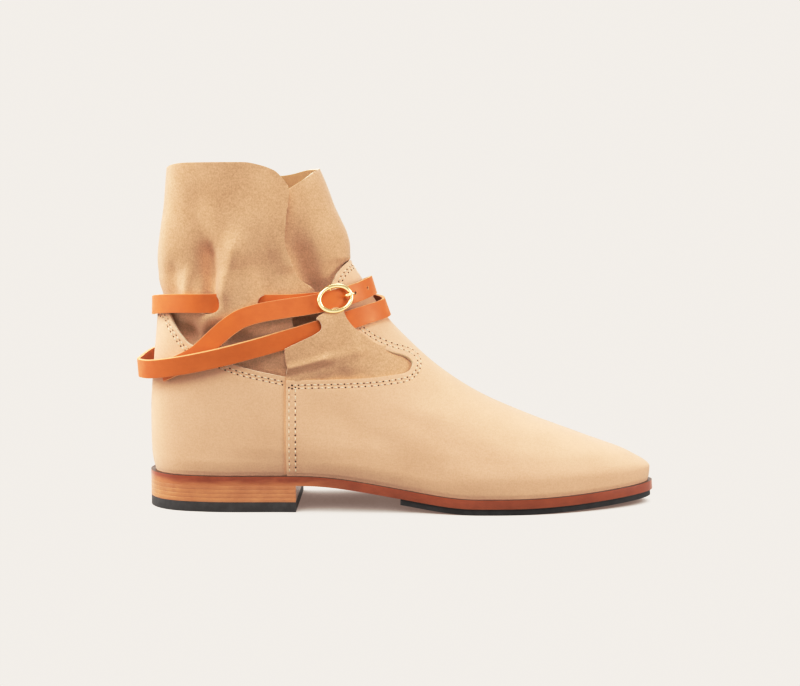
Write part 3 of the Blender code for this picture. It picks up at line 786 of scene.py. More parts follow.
def tube_mesh(name, path, radius, around, closed=False):
    """Round wire along a path of points; the radius may have a value for each point."""
    path = np.asarray(path, float)
    count = len(path)
    steps = count if closed else count - 1
    radii = np.broadcast_to(np.asarray(radius, float), count)
    if closed:
        ahead = np.roll(path, -1, axis=0) - np.roll(path, 1, axis=0)
    else:
        ahead = np.gradient(path, axis=0)
    ahead = unit(ahead)
    middle = path.mean(axis=0)
    across = unit(np.cross(ahead, np.cross(path - middle + 1e-6, ahead) + 1e-9))
    other = np.cross(ahead, across)

    def surface(along, up):
        index = np.rint(along * steps).astype(int) % count
        angle = 2.0 * math.pi * up
        out = across[index] * np.cos(angle)[:, None] + other[index] * np.sin(angle)[:, None]
        return path[index] + out * radii[index][:, None]

    return grid_mesh(name, (steps, around), surface)


# Materials
def new_group(name, inputs, outputs):
    """Shader node group with named sockets; returns its tree and its input and output nodes."""
    tree = bpy.data.node_groups.new(name, "ShaderNodeTree")
    for socket_name, kind, value in inputs:
        socket = tree.interface.new_socket(socket_name, in_out="INPUT", socket_type=kind)
        socket.default_value = value
    for socket_name, kind in outputs:
        tree.interface.new_socket(socket_name, in_out="OUTPUT", socket_type=kind)
    return tree, tree.nodes.new("NodeGroupInput"), tree.nodes.new("NodeGroupOutput")


def feed(socket, value):
    """Set a socket to a value, or link another socket to it."""
    if isinstance(value, bpy.types.NodeSocket):
        socket.id_data.links.new(value, socket)
    elif socket.type == "RGBA" and isinstance(value, tuple):
        socket.default_value = (*value, 1.0)
    else:
        socket.default_value = value


def settle(node, **inputs):
    """Feed a node's inputs by their names, with _ for a space."""
    for name, value in inputs.items():
        feed(node.inputs[name.replace("_", " ")], value)
    return node


def add_node(tree, kind, **inputs):
    return settle(tree.nodes.new("ShaderNode" + kind), **inputs)


def add_noise(tree, vector, scale, detail=3.0, roughness=0.6):
    """Noise at one scale, or stretched by a scale for each axis."""
    if isinstance(scale, tuple):
        vector = add_node(tree, "Mapping", Vector=vector, Scale=scale).outputs["Vector"]
        scale = 1.0
    noise = add_node(tree, "TexNoise", Vector=vector, Scale=scale, Detail=detail, Roughness=roughness)
    return noise.outputs["Fac"]


def add_range(tree, value, low, high, to_low=0.0, to_high=1.0):
    node = add_node(tree, "MapRange", Value=value, From_Min=low, From_Max=high, To_Min=to_low, To_Max=to_high)
    return node.outputs["Result"]


def add_math(tree, operation, first, second):
    node = add_node(tree, "Math")
    node.operation = operation
    feed(node.inputs[0], first)
    feed(node.inputs[1], second)
    return node.outputs[0]


def add_mix(tree, factor, first, second):
    """Colour between two; the mix node keeps its colour sockets in the last places."""
    node = add_node(tree, "Mix")
    node.data_type = "RGBA"
    for index, value in ((0, factor), (6, first), (7, second)):
        feed(node.inputs[index], value)
    return node.outputs[2]


def weighed(tree, *parts):
    """Sum of values, each times its weight."""
    products = [add_math(tree, "MULTIPLY", value, weight) for value, weight in parts]
    total = products[0]
    for product in products[1:]:
        total = add_math(tree, "ADD", total, product)
    return total


def add_bump(tree, height, strength, distance):
    bump = add_node(tree, "Bump", Height=height, Strength=strength, Distance=distance * MM)
    return bump.outputs["Normal"]


def add_group(tree, group, **inputs):
    node = add_node(tree, "Group")
    node.node_tree = group
    return settle(node, **inputs).outputs


def nap_group():
    """Brushed nap of suede: cloudy mottling, short fibres that lie one way, and specks."""
    tree, given, out = new_group(
        "nap",
        (
            ("Vector", "NodeSocketVector", (0.0, 0.0, 0.0)),
            ("Light", "NodeSocketColor", (0.8, 0.6, 0.4, 1.0)),
            ("Dark", "NodeSocketColor", (0.6, 0.4, 0.25, 1.0)),
            ("Mottling", "NodeSocketFloat", 0.5),
        ),
        (("Colour", "NodeSocketColor"), ("Height", "NodeSocketFloat")),
    )
    vector = given.outputs["Vector"]
    clouds = add_range(tree, add_noise(tree, vector, 60.0, 3.0, 0.55), 0.35, 0.68)
    brushed = add_range(tree, add_noise(tree, vector, (420.0, 420.0, 900.0)), 0.36, 0.66)
    fibres = add_noise(tree, vector, (1500.0, 1500.0, 1100.0), 3.0, 0.65)
    specks = add_range(tree, fibres, 0.40, 0.62)
    shade = weighed(tree, (clouds, 0.26), (brushed, 0.24), (specks, 0.50))
    shade = add_math(tree, "MULTIPLY", shade, given.outputs["Mottling"])
    colour = add_mix(tree, shade, given.outputs["Light"], given.outputs["Dark"])
    settle(out, Colour=colour, Height=weighed(tree, (fibres, 0.6), (brushed, 0.4)))
    return tree


def grain_group():
    """Grain of smooth leather: fine pores, faint clouds and short lines along it."""
    tree, given, out = new_group(
        "grain",
        (
            ("Vector", "NodeSocketVector", (0.0, 0.0, 0.0)),
            ("Light", "NodeSocketColor", (0.6, 0.2, 0.05, 1.0)),
            ("Dark", "NodeSocketColor", (0.4, 0.1, 0.03, 1.0)),
            ("Fineness", "NodeSocketFloat", 1400.0),
        ),
        (("Colour", "NodeSocketColor"), ("Height", "NodeSocketFloat"), ("Rough", "NodeSocketFloat")),
    )
    vector = given.outputs["Vector"]
    pores = add_node(tree, "TexVoronoi")
    pores.feature = "DISTANCE_TO_EDGE"
    settle(pores, Vector=vector, Scale=given.outputs["Fineness"])
    cells = add_range(tree, pores.outputs["Distance"], 0.0, 0.28)
    clouds = add_range(tree, add_noise(tree, vector, 90.0, 4.0), 0.34, 0.68)
    lines = add_range(tree, add_noise(tree, vector, (240.0, 240.0, 700.0)), 0.4, 0.7)
    shade = weighed(tree, (clouds, 0.8), (lines, 0.2))
    colour = add_mix(tree, shade, given.outputs["Light"], given.outputs["Dark"])
    settle(out, Colour=colour, Height=cells, Rough=add_range(tree, clouds, 0.0, 1.0, -0.06, 0.08))
    return tree


NAP = nap_group()
GRAIN = grain_group()


def new_material(name):
    material = bpy.data.materials.new(name)
    material.use_nodes = True
    tree = material.node_tree
    return material, tree, tree.nodes["Principled BSDF"], add_node(tree, "TexCoord").outputs["Object"]


def suede(name, light, dark, mottling, bump):
    material, tree, shader, place = new_material(name)
    nap = add_group(tree, NAP, Vector=place, Light=light, Dark=dark, Mottling=mottling)
    settle(
        shader,
        Base_Color=nap["Colour"],
        Normal=add_bump(tree, nap["Height"], bump, 0.25),
        Roughness=0.92,
        Specular_IOR_Level=0.15,
        Sheen_Weight=0.40,
        Sheen_Roughness=0.45,
        Sheen_Tint=(1.0, 0.93, 0.84),
    )
    return material


def leather(name, light, dark, roughness, fineness, bump, shine=0.5):
    material, tree, shader, place = new_material(name)
    grain = add_group(tree, GRAIN, Vector=place, Light=light, Dark=dark, Fineness=fineness)
    settle(
        shader,
        Base_Color=grain["Colour"],
        Normal=add_bump(tree, grain["Height"], bump, 0.12),
        Roughness=add_math(tree, "ADD", grain["Rough"], roughness),
        Specular_IOR_Level=shine,
    )
    return material


def wandering_height(tree, place, scale, reach):
    """Height of a place, moved up and down so that a line drawn by it wanders."""
    height = add_node(tree, "SeparateXYZ", Vector=place).outputs["Z"]
    wander = add_noise(tree, place, scale)
    return add_math(tree, "ADD", height, add_range(tree, wander, 0.3, 0.7, -reach * MM, reach * MM))


def sole_edge(name, light, dark, natural, ledge_shade):
    """Dressed edge of the sole, with painted shade on the ledge along its top where the upper meets it, worn
    to natural brown low at the heel.
    """
    material, tree, shader, place = new_material(name)
    grain = add_group(tree, GRAIN, Vector=place, Light=light, Dark=dark, Fineness=1500.0)
    height = wandering_height(tree, place, (50.0, 50.0, 250.0), 1.2)
    low = add_range(tree, height, (HEEL_SEAT - 4.4) * MM, (HEEL_SEAT - 1.6) * MM, 0.85, 0.0)
    along = add_node(tree, "SeparateXYZ", Vector=place).outputs["X"]
    at_heel = add_range(tree, along, -52.0 * MM, -24.0 * MM, 1.0, 0.0)
    worn = add_mix(tree, add_math(tree, "MULTIPLY", low, at_heel), grain["Colour"], natural)
    facing = add_node(tree, "SeparateXYZ", Vector=add_node(tree, "NewGeometry").outputs["Normal"])
    settle(
        shader,
        # Faces that point up turn dark: painted shade where the upper meets the sole
        Base_Color=add_mix(tree, add_range(tree, facing.outputs["Z"], 0.35, 0.85), worn, ledge_shade),
        Normal=add_bump(tree, grain["Height"], 0.04, 0.12),
        Roughness=add_math(tree, "ADD", grain["Rough"], 0.36),
        Specular_IOR_Level=0.35,
        Coat_Weight=0.12,
        Coat_Roughness=0.2,
    )
    return material


def heel_layers(name, light, dark, stain):
    """Burnished edge of stacked leather: fine level lines, and a little of the sole's stain at its top."""
    material, tree, shader, place = new_material(name)
    grain = add_group(tree, GRAIN, Vector=place, Light=light, Dark=dark, Fineness=900.0)
    fine = add_noise(tree, place, (30.0, 30.0, 1500.0), 4.0)
    streaked = add_mix(tree, add_range(tree, fine, 0.45, 0.70, 0.0, 0.16), grain["Colour"], dark)
    height = wandering_height(tree, place, (60.0, 60.0, 200.0), 1.3)
    top = HEEL_SEAT - OUTSOLE
    stained = add_range(tree, height, (top - 3.2) * MM, (top + 0.4) * MM, 0.0, 0.22)
    settle(
        shader,
        Base_Color=add_mix(tree, stained, streaked, stain),
        Normal=add_bump(tree, fine, 0.2, 0.15),
        Roughness=add_range(tree, fine, 0.3, 0.7, 0.34, 0.48),
        Coat_Weight=0.15,
        Coat_Roughness=0.2,
    )
    return material


def rubber(name, colour, roughness):
    """Matt rubber with a little dust on it."""
    material, tree, shader, place = new_material(name)
    fine = add_noise(tree, place, 1600.0)
    dust = add_range(tree, add_noise(tree, place, 160.0, 4.0), 0.4, 0.7, 0.0, 0.35)
    dusty = tuple(0.04 + 1.6 * value for value in colour)
    settle(
        shader,
        Base_Color=add_mix(tree, dust, colour, dusty),
        Normal=add_bump(tree, fine, 0.2, 0.1),
        Roughness=add_range(tree, fine, 0.3, 0.7, roughness - 0.08, roughness + 0.1),
        Specular_IOR_Level=0.3,
    )
    return material


def polished(name, colour, roughness):
    """Polished plated metal with faint handling marks."""
    material, tree, shader, place = new_material(name)
    marks = add_noise(tree, place, 400.0, 2.0, 0.5)
    tone = add_range(tree, add_noise(tree, place, 200.0, 2.0, 0.5), 0.3, 0.7, 0.0, 0.4)
    deeper = tuple(value * 0.9 for value in colour)
    settle(
        shader,
        Base_Color=add_mix(tree, tone, colour, deeper),
        Roughness=add_range(tree, marks, 0.3, 0.75, roughness - 0.02, roughness + 0.03),
        Metallic=1.0,
    )
    return material


def plain(name, colour, roughness):
    """Small dark or pale trim with a little unevenness."""
    material, tree, shader, place = new_material(name)
    tone = add_range(tree, add_noise(tree, place, 1500.0, 2.0, 0.5), 0.3, 0.7, 0.0, 0.3)
    deeper = tuple(value * 0.75 for value in colour)
    settle(shader, Base_Color=add_mix(tree, tone, colour, deeper), Roughness=roughness)
    return material


SUEDE = suede("suede", (0.890, 0.565, 0.374), (0.704, 0.410, 0.250), 0.60, 0.35)
SHAFT_SUEDE = suede("shaft_suede", (0.818, 0.507, 0.320), (0.532, 0.296, 0.163), 0.85, 0.45)
SUEDE_EDGE = suede("suede_edge", (0.950, 0.800, 0.600), (0.840, 0.640, 0.420), 0.6, 0.3)
FLESH = suede("flesh_side", (0.600, 0.360, 0.185), (0.480, 0.270, 0.130), 0.9, 0.5)
STRAP = leather("strap_leather", (0.760, 0.205, 0.040), (0.660, 0.165, 0.031), 0.46, 1500.0, 0.10, 0.34)
STRAP_EDGE = plain("strap_edge", (0.920, 0.480, 0.220), 0.7)
STRAP_BACK = leather("strap_back", (0.460, 0.150, 0.055), (0.360, 0.105, 0.036), 0.75, 1100.0, 0.3)
# Its last colour is the painted shade on the ledge along the sole's top
SOLE = sole_edge(
    "sole_leather", (0.360, 0.084, 0.030), (0.250, 0.050, 0.017), (0.600, 0.245, 0.095), (0.070, 0.026, 0.013)
)
HEEL = heel_layers("heel_leather", (0.650, 0.292, 0.120), (0.490, 0.190, 0.069), (0.330, 0.085, 0.034))
RUBBER = rubber("rubber", (0.042, 0.037, 0.035), 0.60)
DARK_RUBBER = rubber("dark_rubber", (0.016, 0.014, 0.014), 0.65)
INSOLE_LEATHER = leather("insole_leather", (0.600, 0.380, 0.200), (0.500, 0.300, 0.150), 0.62, 900.0, 0.2)
GOLD = polished("gold_metal", (0.950, 0.740, 0.400), 0.12)
THREAD_PALE = plain("thread", (0.900, 0.740, 0.550), 0.75)
# Dark of the pinholes and punched holes: painted shade inside the holes
HOLE_SHADE = plain("pinhole_shade", (0.060, 0.030, 0.014), 0.95)


def seam_x(level):
    """Place of the side seam, which is almost upright."""
    return SEAM_FOOT_X + (SEAM_TOP_X - SEAM_FOOT_X) * np.clip(level / SEAM_TOP_LEVEL, 0.0, 1.2)


def on_upper(level, turn, stand_off):
    """Points of a panel of the upper, whose foot is drawn in and down to the sole."""
    points = off_form(level, turn, stand_off - FOOT_PULL * (1.0 - ease(level / FOOT_PULL_LEVEL)))
    points[..., 2] -= FOOT_DROP * (1.0 - ease(level / FOOT_DROP_LEVEL))
    return points


def hollow(distance, place, width):
    """Section of the shallow trough that rows of stitches draw."""
    return np.exp(-((distance - place) / width) ** 2)


def seam_hollow(depth):
    return -SEAM_HOLLOW * hollow(-depth, SEAM_HOLLOW_PLACE, SEAM_HOLLOW_WIDTH)


def vamp_surface(along, up):
    level = VAMP_TOP_LEVEL * np.clip(up, 0.0, 1.0) ** VAMP_CROWDING
    seam = turn_at(level, seam_x(level))
    turn = seam + (360.0 - 2.0 * seam) * along
    to_seam = np.minimum(along, 1.0 - along) * VAMP_SPANS[0]
    side_hollow = SIDE_HOLLOW * hollow(to_seam, SIDE_HOLLOW_PLACE, SIDE_HOLLOW_WIDTH)
    return on_upper(level, turn, seam_hollow(past_vamp(form(level, turn))) - side_hollow)


def build_vamp():
    mesh = grid_mesh("vamp", VAMP_GRID, vamp_surface, past_vamp, VAMP_SPANS)
    vamp = new_piece("vamp", mesh, (SUEDE, SUEDE_EDGE, FLESH))
    thicken(vamp, VAMP_WALL)
    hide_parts("upper")


def counter_surface(along, up):
    level = COUNTER_TOP_LEVEL * np.clip(up, 0.0, 1.0) ** COUNTER_CROWDING
    turn = turn_at(level, seam_x(level) + COUNTER_LAP) * (2.0 * along - 1.0)
    flat = form(level, turn)
    under = ease((flat[..., 0] - seam_x(level) + COUNTER_DIP_START) / COUNTER_DIP_WIDTH)
    dip = COUNTER_STEP + (VAMP_WALL - COUNTER_STEP + COUNTER_CLEARANCE) * under
    return on_upper(level, turn, seam_hollow(past_counter(flat)) - dip)


def build_counter():
    mesh = grid_mesh("counter", COUNTER_GRID, counter_surface, past_counter, COUNTER_SPANS)
    counter = new_piece("counter", mesh, (SUEDE, SUEDE_EDGE, FLESH))
    thicken(counter, COUNTER_WALL)
    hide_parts("upper")


def lap_turn(level):
    """Turn at which the back part of the shaft ends, over its front part."""
    return through(LAP_LEVELS, LAP_TURNS, level)


def shaft_place(along, up):
    rim_turn = RIM_TURNS[0] + (RIM_TURNS[-1] - RIM_TURNS[0]) * along
    level = HEM_LEVEL + (through(RIM_TURNS, RIM_LEVELS, rim_turn) - HEM_LEVEL) * up
    start = lap_turn(level) - LAP_TURN
    return level, start + (360.0 + LAP_TURN) * along


def shaft_surface(along, up):
    level, turn = shaft_place(along, up)
    flat = form(level, turn)
    x, y, z = flat[..., 0], flat[..., 1], flat[..., 2]
    inside = np.maximum(past_vamp(flat), past_counter(flat))
    at_front = np.exp(-(((turn % 360.0) - 180.0) / FRONT_SPREAD) ** 2)
    room = TUCK_EASE + (FRONT_TUCK_EASE - TUCK_EASE) * at_front
    margin = TUCK_MARGIN + (FRONT_TUCK_MARGIN - TUCK_MARGIN) * at_front
    tucked = TUCK * (1.0 - ease((inside - margin) / room))
    under = (SHAFT_WALL + LAP_GAP) * (1.0 - ease((turn - lap_turn(level) - 1.0) / LAP_EASE))
    under = np.where(turn < 180.0, under, 0.0)
    away = ((x - BRIDGE_X) / BRIDGE_SPREAD_X) ** 2 + ((z - BRIDGE_Z) / BRIDGE_SPREAD_Z) ** 2
    outer = ease(-y / OUTER_EASE)
    rise = BRIDGE_RISE * np.exp(-away) * outer
    in_front = turn < FRONT_PART_END
    outer_folds = np.where(in_front, fold_height(x, z, FRONT_FOLDS), fold_height(x, z, BACK_FOLDS))
    folds = outer * outer_folds + (1.0 - outer) * fold_height(x, z, INNER_FOLDS)
    curl = LAP_CURL * ease(1.0 + (turn - 360.0 - lap_turn(level)) / LAP_CURL_WIDTH)
    curl = curl * ease(level - LAP_CURL_LEVEL)
    return off_form(level, turn, rise - tucked - under + folds + curl)


def in_strap_hole(points):
    """How far a place lies inside one of the two ovals that let the strap through on the outer side."""
    depth = np.full(points.shape[:-1], FAR_OUTSIDE)
    for hole_x, hole_z, half_length, half_height in STRAP_HOLES:
        along = np.abs((points[..., 0] - hole_x) / half_length) ** STRAP_HOLE_SQUARENESS
        across = np.abs((points[..., 2] - hole_z) / half_height) ** STRAP_HOLE_SQUARENESS
        depth = np.maximum(depth, (1.0 - (along + across) ** (1.0 / STRAP_HOLE_SQUARENESS)) * half_height)
    return np.where(points[..., 1] < 0.0, depth, FAR_OUTSIDE)


def build_shaft():
    mesh = grid_mesh("shaft_leather", SHAFT_GRID, shaft_surface, in_strap_hole, SHAFT_SPANS)
    shaft = new_piece("shaft_leather", mesh, (SHAFT_SUEDE, SUEDE_EDGE, FLESH))
    thicken(shaft, SHAFT_WALL)
    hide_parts("shaft")


FLAP_PATH = smooth_path(FLAP_EDGE, 8)
UNDER_VAMP = ((11.0, 60.0), (-61.2, 60.0))
FLAP_BOX = ((-64.0, 12.0), (69.2, 112.5))


def past_flap(points):
    return -depth_inside(points[..., 0], points[..., 2], FLAP_PATH, UNDER_VAMP)


def flap_stand_off(x, z):
    """Soft blend of the stand-offs given for the flap, with its folds."""
    total = np.zeros(x.shape)
    weights = np.zeros(x.shape) + 1e-9
    for place_x, place_z, stand_off in FLAP_FORM:
        weight = np.exp(-0.5 * ((x - place_x) ** 2 + (z - place_z) ** 2) / FLAP_SOFTNESS ** 2)
        total += weight * stand_off
        weights += weight
    return total / weights + fold_height(x, z, FLAP_FOLDS)


def flap_surface(along, up):
    (first_x, last_x), (low_z, high_z) = FLAP_BOX
    x = first_x + (last_x - first_x) * along
    z = low_z + (high_z - low_z) * up
    level, turn = outer_side(x, z)
    return off_form(level, turn, flap_stand_off(x, z))


def build_flap():
    spans = [high - low for low, high in FLAP_BOX]
    mesh = grid_mesh("flap_leather", FLAP_GRID, flap_surface, past_flap, spans)
    flap = new_piece("flap_leather", mesh, (SHAFT_SUEDE, SUEDE_EDGE, FLESH))
    thicken(flap, FLAP_WALL)
    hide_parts("flap")


def strap_station(row):
    """Points on the inner face of the strap's middle line, and the outward directions there."""
    turn, height, stand_off = (along_rows(STRAP_ROUTE, column, row) for column in range(3))
    level = level_of(turn, height)
    outward = form_normal(level, turn)
    place = form(level, turn) + outward * stand_off[..., None]
    lean = through(STRAP_LEANS[:, 0], STRAP_LEANS[:, 1], STRAP_ROUTE[0, 0] - turn)
    outward[..., 2] = STRAP_UPRIGHT * outward[..., 2] + lean
    return place, unit(outward)


def strap_frame(row):
    """Points, directions of travel, downward directions of the width and outward directions of the strap."""
    last = len(STRAP_ROUTE) - 1
    place, outward = strap_station(row)
    ahead = strap_station(np.minimum(row + 0.15, last))[0] - strap_station(np.maximum(row - 0.15, 0.0))[0]
    return place, unit(ahead), unit(np.cross(outward, unit(ahead))), outward


def buckle_axes():
    """Centre of the ring, and its directions: along the strap to the front, up across it, and outward."""
    _, _, down, outward = (values[0] for values in strap_frame(np.array([float(BUCKLE_ROW)])))
    turn = np.array([BUCKLE_TURN])
    level = level_of(turn, BUCKLE_HEIGHT)
    centre = off_form(level, turn, np.array([RING_STAND_OFF]))[0]
    forward = unit(np.cross(-down, outward))
    return centre, forward, -down, outward


def on_buckle(points):
    """Points given in the buckle's own directions, put in the boot's frame."""
    centre, forward, up, outward = buckle_axes()
    points = np.asarray(points, float)
    return centre + points[:, :1] * forward + points[:, 1:2] * up + points[:, 2:] * outward


def strap_rows():
    """Places in the route at even steps along the strap, and the strap's length up to each."""
    rows = np.linspace(0.0, len(STRAP_ROUTE) - 1, 2000)
    middle = strap_station(rows)[0]
    lengths = np.concatenate([[0.0], np.cumsum(np.linalg.norm(np.diff(middle, axis=0), axis=1))])
    return rows, lengths


STRAP_ROWS, STRAP_LENGTHS = strap_rows()


def strap_surface(along, across):
    row = np.interp(along * STRAP_LENGTHS[-1], STRAP_LENGTHS, STRAP_ROWS)
    place, _, down, _ = strap_frame(row)
    return place + down * (STRAP_WIDTH * (across - 0.5))[..., None]


def punch_rows():
    """Places in the route of the punched holes before the buckle."""
    at_buckle = np.interp(BUCKLE_ROW, STRAP_ROWS, STRAP_LENGTHS)
    return np.interp(at_buckle - np.array(PUNCHES), STRAP_LENGTHS, STRAP_ROWS)


def in_punch(points):
    """How far a place lies inside one of the punched holes."""
    depth = np.full(points.shape[:-1], FAR_OUTSIDE)
    for centre in strap_station(punch_rows())[0]:
        depth = np.maximum(depth, PUNCH - np.linalg.norm(points - centre, axis=-1))
    return depth


def build_strap():
    spans = (STRAP_LENGTHS[-1], STRAP_WIDTH)
    mesh = grid_mesh("strap_band", STRAP_GRID, strap_surface, in_punch, spans)
    strap = new_piece("strap_band", mesh, (STRAP, STRAP_EDGE, STRAP_BACK))
    thicken(strap, STRAP_THICK, offset=1.0, edge=0.35)
    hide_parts("strap")
    # Dark plugs in the punched holes: painted shade seen through the holes
    shadows = bmesh.new()
    for place, ahead, down, outward in zip(*strap_frame(punch_rows())):
        axes = (Vector(ahead), Vector(down), Vector(outward))
        add_bead(shadows, place + 0.4 * STRAP_THICK * outward, axes, (2.3 * PUNCH, 2.3 * PUNCH, 0.6))
    add_beads("punched_hole_shades", shadows, HOLE_SHADE)


def build_buckle():
    half_length = 0.5 * (RING_LENGTH - RING_WIRE)
    half_height = 0.5 * (RING_HEIGHT - RING_WIRE)
    angle = np.arange(RING_STEPS) * 2.0 * math.pi / RING_STEPS
    oval = np.stack([half_length * np.cos(angle), half_height * np.sin(angle), 0.0 * angle], axis=1)
    mesh = tube_mesh("buckle_ring", on_buckle(oval), 0.5 * RING_WIRE, 20, True)
    ring = new_piece("buckle_ring", mesh, (GOLD,))
    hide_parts("buckle_frame")

    depth = BAR_STAND_OFF - RING_STAND_OFF
    post = half_height + 0.35
    corners = smooth_path(((post, 0.2), (post, depth + 1.2), (post - 1.4, depth), (1.4 - post, depth),
                           (-post, depth + 1.2), (-post, 0.2)), 6)
    bar_path = np.stack([np.zeros(len(corners)), corners[:, 0], corners[:, 1]], axis=1)
    bar = new_piece("buckle_bar", tube_mesh("buckle_bar", on_buckle(bar_path), 0.5 * BAR_WIRE, 14), (GOLD,))
    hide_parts("buckle_frame")

    prong_line = smooth_path(((3.4, depth - 0.1), (4.4, depth + 0.6), (5.0, depth + 1.9), (5.5, depth + 3.3),
                              (6.6, 1.2), (half_length, 2.2), (half_length + 1.9, 1.5)), 8)
    prong_path = np.stack([prong_line[:, 0], np.zeros(len(prong_line)), prong_line[:, 1]], axis=1)
    taper = np.linspace(1.0, 0.0, len(prong_path))
    radius = 0.5 * PRONG_WIRE * (0.25 + 0.75 * ease(taper / 0.25))
    prong = new_piece("buckle_pin", tube_mesh("buckle_pin", on_buckle(prong_path), radius, 14), (GOLD,))
    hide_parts("buckle_prong")


def foot_surface(back_turn, front_turn, margin, lift):
    """Sheet across the foot that follows the sole's line; its ends are rounded, or straight at a cut turn."""
    back = max(back_turn, ROUNDED_END)
    front = min(front_turn, 180.0 - ROUNDED_END)

    def end_line(turn, whole, across):
        if whole:
            middle = 0.0 if turn < 90.0 else 180.0
            return foot_edge(turn + 2.0 * (middle - turn) * across, margin)
        outer, inner = foot_edge(np.array((turn, -turn)), margin)
        return outer + (inner - outer) * across[..., None]

    def surface(along, across):
        turn = back + (front - back) * along
        outer = foot_edge(turn, margin)
        inner = foot_edge(-turn, margin)
        first = end_line(back, back_turn < ROUNDED_END, across)
        last = end_line(front, front_turn > 180.0 - ROUNDED_END, across)
        a = along[..., None]
        c = across[..., None]
        corners = foot_edge(np.array((back, -back, front, -front)), margin)
        flat_back = (1.0 - c) * corners[0] + c * corners[1]
        flat_front = (1.0 - c) * corners[2] + c * corners[3]
        flat = (1.0 - a) * flat_back + a * flat_front
        point = outer + (inner - outer) * c + first + (last - first) * a - flat
        point[..., 2] = sole_line(point[..., 0]) + lift
        return point

    return surface


def edge_turn(x, margin):
    """Turn on the outer side at which the sole's outline reaches x."""
    turns = np.linspace(0.0, 180.0, 3601)
    return float(turns[np.argmax(foot_edge(turns, margin)[:, 0] >= x)])


def add_slab(name, material, node, slot, turns, margin, lift, thickness, strips, corner, segments):
    mesh = grid_mesh(name, (strips, FOOT_ROWS), foot_surface(*turns, margin, lift))
    slab = new_piece(name, mesh, (material,))
    thicken(slab, thickness, edge=corner, segments=segments)
    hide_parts(node)


def build_soles():
    whole = (0.0, 180.0)
    heel = (0.0, edge_turn(HEEL_BREAST, WELT))
    front = (edge_turn(HALF_SOLE_BACK, WELT - HALF_SOLE_INSET), 180.0)
    inset = -(VAMP_WALL + INSOLE_CLEARANCE)
    layer = (HEEL_STACK + 2.0 * GAP) / HEEL_LAYERS
    tops = [-OUTSOLE - number * layer for number in range(HEEL_LAYERS + 1)]
    layers = [
        (f"heel_layer_{number}", HEEL, "heel_stack", "heel_leather", heel, WELT, top, layer, 90, 0.08, 2)
        for number, top in enumerate(tops[:-1], 1)
    ]
    slabs = (
        # name, material, node, slot, turns, margin, lift, thickness, strips, corner, segments
        ("outsole_leather", SOLE, "outsole", "sole_leather", whole, WELT, 0.0, OUTSOLE, 240, 1.1, 4),
        *layers,
        ("top_piece", RUBBER, "heel_lift", "rubber", heel, WELT - 0.1, tops[-1], HEEL_LIFT, 90, 0.6, 3),
        ("forefoot_rubber", DARK_RUBBER, "half_sole", "rubber", front, WELT - HALF_SOLE_INSET, -OUTSOLE,
         HALF_SOLE + GAP, 160, 0.7, 3),
        ("insole_sock", INSOLE_LEATHER, "insole", "insole_leather", whole, inset, GAP + INSOLE,
         INSOLE, 160, 0.5, 2),
    )
    for slab in slabs:
        add_slab(*slab)


def along_path(points, pitch):
    """Places at an even pitch along a path in space, and the direction of the path there."""
    lengths = np.concatenate([[0.0], np.cumsum(np.linalg.norm(np.diff(points, axis=0), axis=1))])
    count = max(int(lengths[-1] / pitch), 1)
    stations = (np.arange(count) + 0.5) * lengths[-1] / count
    place = np.stack([np.interp(stations, lengths, points[:, axis]) for axis in range(3)], axis=1)
    ahead = np.stack([np.interp(stations + 0.2, lengths, points[:, axis]) for axis in range(3)], axis=1)
    return place, unit(ahead - place + 1e-9)


def add_bead(target, place, axes, size):
    """Small flattened ball laid on a surface by its three directions."""
    ball = bmesh.ops.create_uvsphere(target, u_segments=8, v_segments=6, radius=0.5)
    turned = Matrix(axes).transposed().to_4x4()
    sized = Matrix.Diagonal((size[0] * MM, size[1] * MM, size[2] * MM, 1.0))
    moved = Matrix.Translation(Vector(world(place)))
    bmesh.ops.transform(target, matrix=moved @ turned @ sized, verts=ball["verts"])


def add_beads(name, made, material):
    new_piece(name, finished_mesh(name, made), (material,))


def add_stitches(name, paths):
    """Threads along paths, with dark beads as the painted shade of their pinholes; each path has its points
    and its outward directions.
    """
    threads = bmesh.new()
    holes = bmesh.new()
    for points, normals in paths:
        place, ahead = along_path(points, STITCH_PITCH)
        nearest = [int(np.argmin(np.linalg.norm(points - here, axis=1))) for here in place]
        for here, forward, index in zip(place, ahead, nearest):
            outward = Vector(normals[index])
            forward = Vector(forward)
            side = outward.cross(forward).normalized()
            outward = forward.cross(side).normalized()
            axes = (forward, side, outward)
            add_bead(threads, here + THREAD_RISE * np.array(outward), axes, (STITCH_LENGTH, THREAD, THREAD))
            spot = here + 0.5 * STITCH_PITCH * np.array(forward)
            # Dark bead: painted shade inside the pinhole
            add_bead(holes, spot, axes, (PINHOLE, 0.9 * PINHOLE, PINHOLE_DEPTH))
    add_beads(f"{name}_threads", threads, THREAD_PALE)
    add_beads(f"{name}_pinhole_shades", holes, HOLE_SHADE)


def shifted_path(path, distance):
    """Line of the side view at a distance from another, on its leather side."""
    ahead = unit(np.gradient(path, axis=0))
    return path + np.stack([ahead[:, 1], -ahead[:, 0]], axis=1) * distance


def on_panel(depth, level, turn):
    """Points of a row at a depth under the form, and the outward directions there."""
    return off_form(level, turn, np.full(len(level), -depth)), form_normal(level, turn)


def on_both_sides(depth, level, turn):
    return [on_panel(depth, level, side) for side in (turn, 360.0 - turn)]


def counter_row(distance):
    """Row round the back at a distance under the counter's edge, up to the side seams."""
    turn = np.linspace(-COUNTER_ROW_TURN, COUNTER_ROW_TURN, 220)

    def is_below(level):
        return past_counter(form(level, turn)) < -distance

    level = rise_to(is_below, *(np.full(len(turn), end) for end in COUNTER_ROW_LEVELS))
    shown = np.abs(turn) < turn_at(level, seam_x(level) - COUNTER_ROW_END)
    return on_panel(COUNTER_STEP + SEAM_DEPTH, level[shown], turn[shown])


